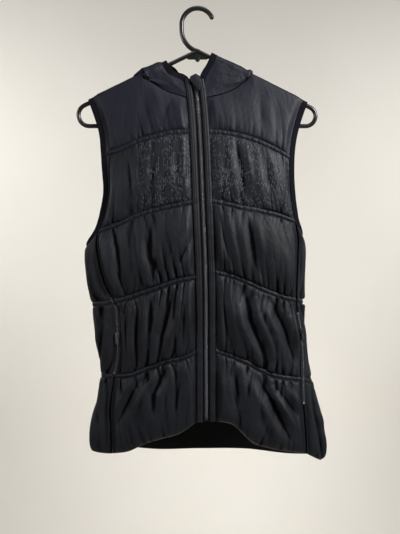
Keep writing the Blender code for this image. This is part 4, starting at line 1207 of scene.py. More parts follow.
def swept(name, sections, finishes, closed=False):
    """Closed solid through sections of the same number of points."""
    sections = np.concatenate((sections, sections[:, :1]), axis=1)
    if closed:
        sections = np.concatenate((sections, sections[:1]), axis=0)
    around, along = grid_paths(sections)
    bm = grid_mesh(sections, np.stack((around, along[:, :1] + 0 * along), axis=-1) * MM)
    bmesh.ops.remove_doubles(bm, verts=bm.verts, dist=MERGED * MM)
    if not closed:
        rim = [edge for edge in bm.edges if edge.is_boundary]
        bmesh.ops.holes_fill(bm, edges=rim)
    return finish(name, bm, finishes)


def ribbon(outline, thick):
    """Ring of points round a folded strip of cloth that follows an outline."""
    outline = np.array(outline, float)
    along = unit(np.gradient(outline, axis=0))
    inward = np.stack((-along[:, 1], along[:, 0]), axis=-1)
    return np.concatenate((outline, (outline + inward * thick)[::-1]))


def steps_of(points):
    return np.linalg.norm(np.diff(np.array(points, float), axis=0), axis=1)


def path_of(points):
    """Path length up to every one of the points."""
    return np.concatenate(([0.0], np.cumsum(steps_of(points))))


def path_length(points):
    return float(np.sum(steps_of(points)))


def read_points(at, path, points):
    """Points at the given path lengths."""
    return np.stack([np.interp(at, path, points[:, k]) for k in range(3)], axis=-1)


def folded_outline(near, far, low, high):
    """Strip folded in half: out along its lower layer, round the fold, back along the upper."""
    radius = (high - low) / 2
    centre = far - radius
    straight, bent = FOLDED_STEPS
    points = [(mix(near, centre, k / straight), low) for k in range(straight)]
    for k in range(bent + 1):
        angle = math.pi * (k / bent - 0.5)
        points.append((centre + radius * math.cos(angle), low + radius + radius * math.sin(angle)))
    points += [(mix(centre, near, (k + 1) / straight), high) for k in range(straight)]
    return points


def copies(name, shape, places, made):
    """One piece of the same small shape at every place."""
    one = bpy.data.meshes.new(name + "_one")
    shape.to_mesh(one)
    shape.free()
    bm = bmesh.new()
    for place in places:
        bm.from_mesh(one)
        bm.verts.ensure_lookup_table()
        bmesh.ops.transform(bm, matrix=place, verts=bm.verts[-len(one.vertices):])
    bpy.data.meshes.remove(one)
    return finish(name, bm, [made])


def block(size, bevel, segments=1):
    """Box of a given width, length and height that stands on its base, with bevelled edges."""
    bm = bmesh.new()
    made = bmesh.ops.create_cube(bm, size=1.0)
    bmesh.ops.scale(bm, vec=Vector(size) * MM, verts=made["verts"])
    bmesh.ops.translate(bm, vec=(0.0, 0.0, size[2] / 2 * MM), verts=made["verts"])
    bevelled(bm, bm.edges[:], bevel, segments)
    return bm


def placing(point, across, up, out):
    """Matrix that stands a shape at a point: its x across, its y up, its z out."""
    place = Matrix((across, up, out)).transposed().to_4x4()
    place.translation = Vector(point) * MM
    return place


def stitch_places(points, outs):
    """Places of the stitches along a line on the cloth."""
    path = path_of(points)
    at = np.arange(STITCH_PITCH / 2, path[-1], STITCH_PITCH)
    here = read_points(at, path, points)
    out = unit(read_points(at, path, outs))
    ahead = read_points(at + STITCH_PROBE, path, points)
    behind = read_points(at - STITCH_PROBE, path, points)
    along = unit(ahead - behind)
    across = unit(np.cross(along, out))
    out = np.cross(across, along)
    return [placing(*place) for place in zip(here, across, along, out)]


# ---------------------------------------------------------------- finishes

# A texture of parallel waves with scale 1 repeats after this length, in metres
WAVE_PERIOD = 0.314
# Tones of the painted shade in the gathers' hollows and of the painted cool light on the upper cloth, and
# how little the shaded hollows shine
PAINTED_CREASE_SHADE = "#040405"
COOL_LIGHT_TONE = "#131521"
CREASE_FULL = 0.8
CREASE_SPECULAR = 0.03
# Crinkles: stretch over the cloth, their noise and strength
CRINKLE_STRETCH = (1.0, 0.55, 1.0)
CRINKLE_NOISE = {"Detail": 4.0, "Roughness": 0.6, "Distortion": 0.6}
CRINKLE_STRENGTH = 0.8
WEAVE_STRENGTH = 0.6
# Wrinkles at the seams: stretch, their share far from a seam, and how they bend, as
# spacing, shift and detail
WRINKLE_STRETCH = (1.0, 0.3, 1.0)
FAR_WRINKLES = 0.07
WRINKLE_BEND = (31.0, 22.0, 2.0)
# Uneven dye, and how much the crinkles change the roughness
DYE_SCALE = 9.0
DYE_DETAIL = 3.0
DYE_RANGE = (0.35, 0.7)
SHEEN_CHANGE = (-0.05, 0.08)
NYLON_LOOK = {
    "dark": "#111319", "light": "#171921", "weave": (1.1, 0.05), "crinkle": (9.0, 1.0),
    "drawn": (8.0, 2.4), "Roughness": 0.57, "IOR": 1.5, "Specular_IOR_Level": 0.31,
}
# The print: width and height of a cell; its waver as spacing, shift and detail; its turn;
# how much a motif is squeezed at least and at most; where its edge starts and ends
PRINT_TONE = "#474952"
PRINT_CELL = (3.0, 4.3)
PRINT_WAVER = (7.0, 2.6, 1.0)
PRINT_TURN = 0.09
CELL_CENTRE = (0.5, 0.5, 0.0)
MOTIF_SQUEEZE = ((0.45, 0.45, 0.0), (1.9, 1.5, 0.0))
MOTIF_EDGE = (0.6, 0.42)
# Its upright streaks: width and length, their noise, and the share of motifs that is worn
# away outside and inside a streak
STREAK_SIZE = (21.0, 90.0)
STREAK_NOISE = {"Scale": 1.0, "Detail": 3.0, "Roughness": 0.7}
WORN_RANGE = {"From Min": 0.4, "From Max": 0.66, "To Min": 0.95, "To Max": 0.2}
# Knit: spacing and depth of its ribs and of its fuzz, and the ribs' waver
RIB = (2.2, 0.7)
RIB_WAVER = {"Distortion": 0.8, "Detail Scale": 3.0}
FUZZ = (1.6, 0.25)
# Moulded and cast things: clouds of colour in millimetres, pits, and how much the pits
# change the roughness
CLOUDS = 25.0
CLOUD_DETAIL = 4.0
CLOUD_RANGE = (0.3, 0.7)
PIT_DETAIL = 3.0
PIT_STRENGTH = 0.7
GLOSS_CHANGE = (-0.06, 0.1)


def tone(code):
    """Linear colour of an sRGB hex value."""
    parts = [int(code[k:k + 2], 16) / 255 for k in (1, 3, 5)]
    linear = [p / 12.92 if p <= 0.04045 else ((p + 0.055) / 1.055) ** 2.4 for p in parts]
    return (*linear, 1.0)


def add(tree, kind, links=None, **settings):
    """Adds a node, sets its settings, and sets or links its inputs."""
    node = tree.nodes.new("ShaderNode" + kind)
    for name, value in settings.items():
        setattr(node, name, value)
    for name, value in (links or {}).items():
        if isinstance(value, bpy.types.NodeSocket):
            tree.links.new(value, node.inputs[name])
        else:
            node.inputs[name].default_value = value
    return node


def new_finish(name, **even):
    """New material; the values that are even all over are set on the shader itself."""
    made = bpy.data.materials.new(name)
    made.use_nodes = True
    shader = made.node_tree.nodes["Principled BSDF"]
    for socket, value in even.items():
        shader.inputs[socket.replace("_", " ")].default_value = value
    return made, made.node_tree, shader


def plug(tree, shader, outputs):
    """Links outputs to the shader's inputs."""
    for socket, output in outputs.items():
        tree.links.new(output, shader.inputs[socket])


def per(spacing):
    """Scale of a texture for a spacing in millimetres."""
    return 1.0 / (spacing * MM)


def wavered(tree, at, spacing, shift, detail):
    """Coordinates moved about by a slow noise, its spacing and shift in millimetres."""
    drift = add(tree, "TexNoise", {"Vector": at, "Scale": per(spacing), "Detail": detail})
    by = add(tree, "VectorMath", {0: drift.outputs["Color"], 3: shift * MM}, operation="SCALE")
    return add(tree, "VectorMath", {0: at, 1: by.outputs[0]}, operation="ADD").outputs[0]


def woven_cloth(name, dark, light, weave, crinkle, drawn=None, **even):
    """Cloth with a fine weave, small crinkles and slightly uneven dye, and its colour output.

    weave is thread spacing and depth, crinkle and drawn are spacing and depth, all in
    millimetres. drawn gives sharp upright wrinkles where the seams draw the cloth together,
    and with them painted shade in the hollows and painted cool light on the upper cloth.
    """
    made, tree, shader = new_finish(name, **even)
    flat = add(tree, "UVMap", uv_map=CLOTH_MAP).outputs["UV"]
    place = add(tree, "TexCoord").outputs["Object"]
    stretched = add(tree, "Mapping", {"Vector": flat, "Scale": CRINKLE_STRETCH}).outputs["Vector"]
    crinkles = add(tree, "TexNoise", {"Vector": stretched, "Scale": per(crinkle[0]),
                                      **CRINKLE_NOISE}).outputs["Fac"]
    threads = WAVE_PERIOD / (weave[0] * MM)
    warp = add(tree, "TexWave", {"Vector": flat, "Scale": threads}, bands_direction="X")
    weft = add(tree, "TexWave", {"Vector": flat, "Scale": threads}, bands_direction="Y")
    woven = add(tree, "Math", {0: warp.outputs["Fac"], 1: weft.outputs["Fac"]}, operation="MAXIMUM")
    relief = add(tree, "Bump", {"Height": woven.outputs[0], "Distance": weave[1] * MM,
                                "Strength": WEAVE_STRENGTH}).outputs["Normal"]
    relief = add(tree, "Bump", {"Height": crinkles, "Distance": crinkle[1] * MM,
                                "Strength": CRINKLE_STRENGTH, "Normal": relief}).outputs["Normal"]
    cloudy = add(tree, "TexNoise", {"Vector": place, "Scale": DYE_SCALE, "Detail": DYE_DETAIL})
    dye = add(tree, "ValToRGB", {"Fac": cloudy.outputs["Fac"]})
    for stop, position, code in zip(dye.color_ramp.elements, DYE_RANGE, (dark, light)):
        stop.position = position
        stop.color = tone(code)
    shade = dye.outputs["Color"]
    smoother, rougher = (even["Roughness"] + change for change in SHEEN_CHANGE)
    sheen = add(tree, "MapRange", {"Value": crinkles, "To Min": smoother, "To Max": rougher})
    if drawn:
        upright = add(tree, "Mapping", {"Vector": wavered(tree, flat, *WRINKLE_BEND),
                                        "Scale": WRINKLE_STRETCH}).outputs["Vector"]
        wrinkles = add(tree, "TexNoise", {"Vector": upright, "Scale": per(drawn[0])},
                       noise_type="RIDGED_MULTIFRACTAL").outputs["Fac"]
        pulled = add(tree, "Attribute", attribute_name=DRAWN).outputs["Fac"]
        amount = add(tree, "MapRange", {"Value": pulled, "To Min": FAR_WRINKLES}).outputs["Result"]
        deep = add(tree, "Math", {0: wrinkles, 1: amount}, operation="MULTIPLY").outputs[0]
        relief = add(tree, "Bump", {"Height": deep, "Distance": drawn[1] * MM, "Normal": relief},
                     invert=True).outputs["Normal"]
        # Painted shade: the hollows between the gathers are painted darker and made to shine less.
        shade_mask = add(tree, "Attribute", attribute_name=HOLLOW_SHADE).outputs["Fac"]
        dull = add(tree, "MapRange", {"Value": shade_mask, "From Max": CREASE_FULL,
                                      "To Min": even["Specular_IOR_Level"], "To Max": CREASE_SPECULAR})
        plug(tree, shader, {"Specular IOR Level": dull.outputs["Result"]})
        # Painted cool light: the yoke and the hood are painted bluer, as light from above makes them look.
        upper = add(tree, "Attribute", attribute_name=PAINTED_COOL_LIGHT).outputs["Fac"]
        for cover, code in ((upper, COOL_LIGHT_TONE), (shade_mask, PAINTED_CREASE_SHADE)):
            shade = add(tree, "Mix", {"Factor": cover, "A": shade, "B": tone(code)},
                        data_type="RGBA").outputs[2]
    plug(tree, shader, {"Base Color": shade, "Roughness": sheen.outputs["Result"], "Normal": relief})
    return made, tree, shader, flat, shade


def satin_nylon():
    # Calendered nylon taffeta: almost black, with broad soft highlights on every puff and
    # fine crinkles. Its real threads are 0.2 mm apart; they are drawn at 1.1 mm to show.
    return woven_cloth("satin_nylon_taffeta", **NYLON_LOOK)[0]


def printed_nylon():
    # The same nylon with a tone-on-tone screen print: small diamonds and bars in broken
    # upright streaks, a flat grey a few tones lighter than the cloth.
    made, tree, shader, flat, dyed_with_painted_light = woven_cloth("screen_printed_nylon_taffeta", **NYLON_LOOK)
    cell_scale = (per(PRINT_CELL[0]), per(PRINT_CELL[1]), 1.0)
    cells = add(tree, "Mapping", {"Vector": wavered(tree, flat, *PRINT_WAVER), "Scale": cell_scale,
                                  "Rotation": (0.0, 0.0, PRINT_TURN)}).outputs["Vector"]
    cell = add(tree, "VectorMath", {0: cells}, operation="FLOOR").outputs[0]
    chances = add(tree, "TexWhiteNoise", {"Vector": cell}, noise_dimensions="2D").outputs
    least, most = MOTIF_SQUEEZE
    squeeze = add(tree, "MapRange", {"Vector": chances["Color"], "To Min": least, "To Max": most},
                  data_type="FLOAT_VECTOR").outputs["Vector"]
    inside = add(tree, "VectorMath", {0: cells}, operation="FRACTION").outputs[0]
    centred = add(tree, "VectorMath", {0: inside, 1: CELL_CENTRE}, operation="SUBTRACT").outputs[0]
    quarter = add(tree, "VectorMath", {0: centred}, operation="ABSOLUTE").outputs[0]
    reach = add(tree, "VectorMath", {0: quarter, 1: squeeze}, operation="DOT_PRODUCT").outputs["Value"]
    outer, inner = MOTIF_EDGE
    motif = add(tree, "MapRange", {"Value": reach, "From Min": outer, "From Max": inner}).outputs["Result"]
    streak_scale = (per(STREAK_SIZE[0]), per(STREAK_SIZE[1]), 1.0)
    streaks = add(tree, "Mapping", {"Vector": flat, "Scale": streak_scale}).outputs["Vector"]
    streak = add(tree, "TexNoise", {"Vector": streaks, **STREAK_NOISE}).outputs["Fac"]
    worn = add(tree, "MapRange", {"Value": streak, **WORN_RANGE}).outputs["Result"]
    shown = add(tree, "Math", {0: chances["Value"], 1: worn}, operation="GREATER_THAN").outputs[0]
    band = add(tree, "Attribute", attribute_name=PRINTED).outputs["Fac"]
    ink = add(tree, "Math", {0: shown, 1: motif}, operation="MULTIPLY").outputs[0]
    ink = add(tree, "Math", {0: ink, 1: band}, operation="MULTIPLY").outputs[0]
    # The cloth's colour under the print carries the painted shade and the painted cool light.
    mixed = add(tree, "Mix", {"Factor": ink, "A": dyed_with_painted_light, "B": tone(PRINT_TONE)}, data_type="RGBA")
    plug(tree, shader, {"Base Color": mixed.outputs[2]})
    return made


def lining_taffeta():
    # Plain-woven polyester lining: flat blue-black with little shine. Its real threads are
    # 0.2 mm apart; they are drawn at 1.2 mm to show.
    return woven_cloth("polyester_lining_taffeta", "#0a0f12", "#101a1e", (1.2, 0.05), (16.0, 1.0),
                       Roughness=0.65, IOR=1.5, Specular_IOR_Level=0.25)[0]


def zip_twill():
    # Woven polyester zip tape: matte black, with a close weave that is just seen. Its real
    # threads are 0.4 mm apart; they are drawn at 1 mm to show.
    return woven_cloth("polyester_tape_twill", "#121215", "#1a1a1e", (1.0, 0.15), (6.0, 0.2),
                       Roughness=0.75, IOR=1.5, Specular_IOR_Level=0.3)[0]


def rib_knit():
    # Folded rib knit of nylon and elastane: matte blue-black, with fine ribs across the band and
    # a little fuzz, so that it stays dull at every angle.
    made, tree, shader = new_finish("rib_knit", Roughness=0.9, IOR=1.5, Specular_IOR_Level=0.15)
    flat = add(tree, "UVMap", uv_map=CLOTH_MAP).outputs["UV"]
    place = add(tree, "TexCoord").outputs["Object"]
    ribs = add(tree, "TexWave", {"Vector": flat, "Scale": WAVE_PERIOD / (RIB[0] * MM), **RIB_WAVER},
               bands_direction="Y").outputs["Fac"]
    fuzz = add(tree, "TexNoise", {"Vector": place, "Scale": per(FUZZ[0])}).outputs["Fac"]
    ribbed = add(tree, "Bump", {"Height": ribs, "Distance": RIB[1] * MM}).outputs["Normal"]
    soft = add(tree, "Bump", {"Height": fuzz, "Distance": FUZZ[1] * MM, "Normal": ribbed})
    # Painted shade: the colour follows the ribs, darker in the grooves between them and lighter on their
    # crests.
    dye = add(tree, "ValToRGB", {"Fac": ribs})
    for stop, code in zip(dye.color_ramp.elements, ("#07070c", "#14141f")):
        stop.color = tone(code)
    plug(tree, shader, {"Base Color": dye.outputs["Color"], "Normal": soft.outputs["Normal"]})
    return made


def moulded(name, dark, light, grain, depth, **even):
    """Hard surface with faint cloudy colour and a shallow grain, spacing in millimetres."""
    made, tree, shader = new_finish(name, **even)
    place = add(tree, "TexCoord").outputs["Object"]
    cloudy = add(tree, "TexNoise", {"Vector": place, "Scale": per(CLOUDS), "Detail": CLOUD_DETAIL})
    colour = add(tree, "ValToRGB", {"Fac": cloudy.outputs["Fac"]})
    for stop, position, code in zip(colour.color_ramp.elements, CLOUD_RANGE, (dark, light)):
        stop.position = position
        stop.color = tone(code)
    pits = add(tree, "TexNoise", {"Vector": place, "Scale": per(grain), "Detail": PIT_DETAIL})
    pits = pits.outputs["Fac"]
    skin = add(tree, "Bump", {"Height": pits, "Distance": depth * MM, "Strength": PIT_STRENGTH})
    smoother, rougher = (even["Roughness"] + change for change in GLOSS_CHANGE)
    gloss = add(tree, "MapRange", {"Value": pits, "To Min": smoother, "To Max": rougher})
    plug(tree, shader, {"Base Color": colour.outputs["Color"], "Roughness": gloss.outputs["Result"],
                        "Normal": skin.outputs["Normal"]})
    return made


NYLON = satin_nylon()
PRINT = printed_nylon()
LINING = lining_taffeta()
TWILL = zip_twill()
KNIT = rib_knit()
# Injection-moulded acetal: smooth black with small bright highlights on coils, slider and stop
ACETAL = moulded("injection_moulded_acetal", "#2a2b2e", "#3a3b3f", 2.0, 0.03, Roughness=0.2,
                 IOR=1.48)
# Injection-moulded zip teeth: shiny and almost black, their tops catch the light; their colour is painted a
# lighter grey, a painted highlight that stands for those glints
TEETH = moulded("injection_moulded_teeth", "#3c3d42", "#505157", 2.0, 0.03, Roughness=0.22,
                Specular_IOR_Level=0.9)
# Die-cast zinc, nickel plated: neutral grey metal, softly tumbled
ZINC = moulded("nickel_plated_die_cast_zinc", "#77787c", "#9a9ba0", 1.2, 0.05, Roughness=0.34,
               Metallic=1.0)
# Injection-moulded polystyrene: warm black, semi-gloss, with a faint flow texture
STYRENE = moulded("injection_moulded_polystyrene", "#131312", "#1c1c1a", 6.0, 0.12, Roughness=0.3,
                  IOR=1.59)
# Spun polyester thread: black, slightly lustrous against the matte channel
THREAD = moulded("spun_polyester_thread", "#101013", "#1c1c21", 0.6, 0.05, Roughness=0.5,
                 IOR=1.5)


# ---------------------------------------------------------------- pieces of cloth

def stitched(name, lines):
    """Stitches along lines of points with their outward directions."""
    bm = bmesh.new()
    made = bmesh.ops.create_icosphere(bm, subdivisions=1, radius=1.0)
    bmesh.ops.scale(bm, vec=Vector(STITCH) * MM, verts=made["verts"])
    places = [place for points, outs in lines for place in stitch_places(points, outs)]
    return copies(name, bm, places, THREAD)


def seam_lines(outer, out, rows):
    """Stitch lines on a panel's rows, a little short of its sides."""
    inside = slice(SEAM_INSET, -SEAM_INSET)
    return [(outer[row, inside], out[row, inside]) for row in rows]


def make_front(side, plan):
    """A front with its stitches; gives back the path length q of its outer edge."""
    name = SIDE_NAMES[side]
    base, q = front_base(side, plan)
    outer, out, cloth_at, rows, layers = quilted(base, side, plan, FRONT_LOFT, FRONT_FOLDS,
                                                 SOFT_LEAN[side], FRONT_SEED[side])
    chest = [float(band == CHEST and not in_channel) for band, _, in_channel in plan]
    layers[PRINTED] = np.repeat(np.array(chest)[:, None], base.shape[1], axis=1)
    if side == RIGHT:
        start, width = PRINT_FADE
        layers[PRINTED] *= 1.0 - smoothstep((crowded(FRONT_COLUMNS) - start) / width)
    piece = wall(f"front_{name}_quilt", base, outer, cloth_at, (PRINT, LINING), layers)
    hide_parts(f"front_{name}")
    stitched(f"front_{name}_stitches", seam_lines(outer, out, rows))
    return q[:, -1]


def make_back(plan):
    """The back with its stitches; gives back the path length q of all its points."""
    base, q = back_base(plan)
    outer, out, cloth_at, rows, layers = quilted(base, -1, plan, BACK_LOFT, BACK_FOLDS,
                                                 BACK_LEAN, BACK_SEED)
    piece = wall("back_quilt", base, outer, cloth_at, (NYLON, LINING), layers)
    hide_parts("back")
    stitched("back_stitches", seam_lines(outer, out, rows))
    return q


def make_side(side):
    name = SIDE_NAMES[side]
    plan = row_plan(MIDRIFF)
    base = side_base(side, plan)
    outer, out, cloth_at, rows, layers = quilted(base, side, plan, SIDE_LOFT, (), SIDE_LEAN,
                                                 SIDE_SEED[side], SIDE_RIDGE, SIDE_STITCHED)
    piece = wall(f"side_{name}_quilt", base, outer, cloth_at, (NYLON, LINING), layers)
    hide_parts(f"side_{name}")
    stitched(f"side_{name}_stitches", seam_lines(outer, out, rows))


def armhole_points(side, plan, front_q, back_q):
    """Edge points of the armhole and outward directions, evenly spaced and eased."""
    above = [i for i, (band, part, channel) in enumerate(plan)
             if band == YOKE or (band == CHEST and (not channel or part < 0.5))]

    def front_edge(across, q):
        return hang(side, q, lambda drop: front_place(side, across, drop))

    def back_edge(across, q):
        return hang(side, q, lambda drop: mix(2.0, back_place(side, drop), across))

    front = front_q[above]
    back = back_q[above, 0 if side == RIGHT else -1][:0:-1]
    across = np.linspace(*UNDERARM)
    drops = side_levels(side, across)[0] + CHANNEL / 2
    place = mix(outer_place(side, drops), back_place(side, drops), across)
    points = np.vstack((front_edge(1.0, front), cloth(side, place, drops), back_edge(1.0, back)))
    outs = np.vstack((
        side * normals(front_edge, 1.0, front, FRONT_STEP, DOWN_STEP),
        side * normals(lambda a, b: side_point(side, a, b), across, drops, SIDE_STEP, DOWN_STEP),
        side * normals(back_edge, 1.0, back, FRONT_STEP, -DOWN_STEP),
    ))
    return even_path(points, outs, True)


def even_path(points, outs, closed):
    """The same path with points every few millimetres, its sharp turns eased."""
    if closed:
        points = np.vstack((points, points[:1]))
        outs = np.vstack((outs, outs[:1]))
    path = path_of(points)
    at = np.linspace(0.0, path[-1], int(path[-1] / BAND_STEP))
    points, outs = (read_points(at, path, values) for values in (points, outs))
    if closed:
        points, outs = points[:-1], outs[:-1]
    inner = slice(None) if closed else slice(1, -1)
    for _ in range(EASING_ROUNDS):
        for values in (points, outs):
            eased = (np.roll(values, 1, axis=0) + 2.0 * values + np.roll(values, -1, axis=0)) / 4.0
            values[inner] = eased[inner]
    return points, unit(outs)


def make_band(name, points, outs, turn, width, clearance, closed, node):
    """Folded rib-knit binding beyond an edge of the cloth."""
    if closed:
        along = np.roll(points, -1, axis=0) - np.roll(points, 1, axis=0)
    else:
        along = np.gradient(points, axis=0)
    away = turn * unit(np.cross(outs, unit(along)))
    outline = folded_outline(BAND_OVERLAP, width, *BAND_HEIGHTS)
    ring = ribbon(outline, BAND_CLOTH)
    swell = swelling(np.arange(len(points)) * BAND_STEP, BAND_SWELL)
    sections = np.empty((len(points), len(ring), 3))
    for number, (over, height) in enumerate(ring):
        at = points + away * over + outs * (height * swell)[:, None]
        sections[:, number] = clear_of_arm(at, clearance + height)
    piece = swept(name, sections, [KNIT], closed)
    flat = (path_length(outline) * MM, path_length(points) * MM)
    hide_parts(node)


def hood_grid(side, rows):
    """Coarse grid of a hood half's inner points, and its normals at the neckline."""
    stations = hood_stations(side)
    neck, neck_outs = neck_edge(side)
    neck_places = np.array(HOOD_NECK_PLACES)
    even = np.linspace(0.0, HOOD_LAST, len(neck_places))
    loose = smoothstep(rows / LOOSE_ROWS)
    coarse = np.empty((len(rows), len(even), 3))
    for number, row in enumerate(rows):
        places = mix(neck_places, even, loose[number])
        line = smooth_grid(stations, places, np.array([0.0, row]))
        settle = (neck - line[:, 0]) * (1.0 - smoothstep(row / SETTLED_ROWS))
        coarse[number] = line[:, 1] + settle
    coarse[0] = neck
    for _ in range(HOOD_SMOOTHING):
        around = coarse[1:-1, :-2] + coarse[1:-1, 2:] + coarse[:-2, 1:-1] + coarse[2:, 1:-1]
        coarse[1:-1, 1:-1] = mix(coarse[1:-1, 1:-1], around / 4, 0.5)
        coarse[1:] = clear_of_arm(coarse[1:], hood_clearance(side, coarse[1:, :, 0], rows[1:, None]))
    return coarse, neck_outs


def hood_folds(side, first, second):
    """Height of the hood's soft folds; first counts the lines across, second the rows."""
    folded = np.zeros(np.broadcast(first, second).shape)
    wide, high = HOOD_FOLD_CELL
    for number, (spacing, height) in enumerate(HOOD_FOLDS):
        wave = wave_field(first * wide / spacing + HOOD_FOLD_SHIFT * number, second * high / spacing,
                          HOOD_SEED[side] + number)
        folded += height * (HOOD_WAVE * wave + HOOD_CREASE * creased(wave))
    return folded


def hood_surface(side):
    """Inner and outer points of a hood half, outward directions, cloth map and row places."""
    rows = np.array(HOOD_ROWS)
    coarse, neck_outs = hood_grid(side, rows)
    down_at, across_at = (np.linspace(0.0, count - 1.0, HOOD_FINENESS) for count in coarse.shape[:2])
    base = smooth_grid(coarse, down_at, across_at)
    second = np.interp(down_at, np.arange(len(rows)), rows)[:, None]
    first = np.linspace(0.0, HOOD_LAST, HOOD_FINENESS)[None, :]
    base[1:] = clear_of_arm(base[1:], hood_clearance(side, base[1:, :, 0], second[1:]))
    out = side * unit(np.cross(np.gradient(base, axis=1), np.gradient(base, axis=0)))
    out[0] = unit(smooth_lines(across_at, np.arange(len(neck_outs)), neck_outs))
    wide, high = HOOD_EDGE_CELL
    edge = np.minimum(first, HOOD_LAST - first) * wide
    ends = np.minimum(second, HOOD_ROWS[-1] - second) * high
    rise = smoothstep(np.minimum(edge, ends) / HOOD_RISE)
    crest = np.exp(-((second - HOOD_CREST_ROW) / HOOD_CREST_ROWS) ** 2) * smoothstep(HOOD_CREST_END - first)
    thick = SEAM + rise * mix(HOOD_LOFT, HOOD_CREST_LOFT, crest)
    thick = np.maximum(thick + rise * hood_folds(side, first, second), THINNEST)
    down = grid_paths(base)[1]
    cloth_at = np.stack((np.broadcast_to(first * HOOD_MAP_CELL, thick.shape), down), axis=-1) * MM
    return base, base + out * thick[..., None], out, cloth_at, second[:, 0]


def make_hood():
    rims = {}
    for side in (RIGHT, LEFT):
        name = SIDE_NAMES[side]
        base, outer, out, cloth_at, rows = hood_surface(side)
        # The whole hood is painted with the cool light from above.
        even = np.ones(base.shape[:2])
        piece = wall(f"hood_{name}_cloth", base, outer, cloth_at, (NYLON, LINING), {PAINTED_COOL_LIGHT: even})
        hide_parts(f"hood_{name}")
        free = rows >= HOOD_RIM_ROW
        rims[side] = base[free, 0], out[free, 0]
    points = np.vstack((rims[RIGHT][0][:-1], rims[LEFT][0][::-1][1:]))
    outs = np.vstack((rims[RIGHT][1][:-1], rims[LEFT][1][::-1][1:]))
    points, outs = even_path(points, outs, False)
    make_band("hood_band", points, outs, -1.0, HOOD_BAND, BINDING_CLEARANCE, False, "hood_binding")


# ---------------------------------------------------------------- zips

def zip_surface(side, drops, outline, swell=None):
    """Sections along the zip: outline gives (distance from the zip line, height) pairs."""
    centre = zip_x(drops)
    out = front_normal(centre + side * STRIP_INNER, drops)
    swell = np.ones(len(drops)) if swell is None else swell
    rings = [front_at(centre + side * along, drops) + out * (height * swell)[:, None]
             for along, height in outline]
    return np.stack(rings, axis=1), out


def refinished(node, made):
    """Gives a piece of the solid model its finish."""
    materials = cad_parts[node].data.materials
    materials.clear()
    materials.append(made)


def make_front_zip():
    for side in (RIGHT, LEFT):
        name = SIDE_NAMES[side]
        hem = FRONT_LEVELS[side][-1][0]
        drops = np.linspace(STRIP_TOP_DROP, hem, ZIP_ROWS)
        swell = swelling(drops, [(share, length, seed + side) for share, length, seed in STRIP_SWELL])
        sections, out = zip_surface(side, drops, ribbon(STRIP_OUTLINE, STRIP_CLOTH), swell)
        strip = swept(f"zip_facing_{name}", sections, [NYLON])
        path_length(STRIP_OUTLINE) * MM
        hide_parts(f"zip_strip_{name}")
        groove, _ = zip_surface(side, drops, [STRIP_GROOVE], swell)
        inside = slice(GROOVE_INSET, -GROOVE_INSET)
        stitched(f"zip_facing_{name}_stitches", [(groove[inside, 0], out[inside])])
        sections, _ = zip_surface(side, drops, TAPE_OUTLINE)
        tape = swept(f"zip_tape_{name}_twill", sections, [TWILL])
        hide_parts(f"zip_tape_{name}")
    make_teeth()
    make_garage()


def make_teeth():
    """Moulded teeth, alternating from both tapes, and the stop at the zip's foot."""
    places = []
    drops = np.arange(TEETH_DROPS[0], TEETH_DROPS[1], TOOTH_PITCH / 2)
    shifts = (-TOOTH_SHIFT, TOOTH_SHIFT, 0.0)
    points, out = zip_surface(LEFT, drops, [(shift, TEETH_BASE) for shift in shifts])
    upward = -unit(np.gradient(points[:, 2], axis=0))
    for number, (row, up) in enumerate(zip(points, upward)):
        across = unit(np.cross(up, out[number]))
        places.append(placing(row[number % 2], across, up, np.cross(across, up)))
    teeth = copies("zip_teeth_moulded", block(TOOTH, TOOTH_BEVEL), places, TEETH)
    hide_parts("zip_teeth")
    up = upward[-1]
    across = unit(np.cross(up, out[-1]))
    foot = placing(points[-1, 2] + up * ZIP_STOP_RISE, across, up, np.cross(across, up))
    copies("zip_stop", block(ZIP_STOP, *ZIP_STOP_BEVEL), [foot], ACETAL)
    refinished("zip_slider", ACETAL)


def make_garage():
    """Cloth tab sewn over the top of the zip."""
    low, high = GARAGE_HEIGHTS
    bm = bmesh.new()
    ring = [(front_at(x, drop) + front_normal(x, drop) * low) * MM for x, drop in GARAGE]
    plate(bm, ring, Vector(front_normal(*GARAGE[2])) * (high - low) * MM)
    bevelled(bm, bm.edges[:], *PLATE_BEVEL)
    cloth_map = bm.loops.layers.uv.new(CLOTH_MAP)
    for face in bm.faces:
        for loop in face.loops:
            loop[cloth_map].uv = (loop.vert.co.x, loop.vert.co.z)
    piece = finish("zip_garage_tab", bm, [NYLON])
    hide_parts("zip_garage")


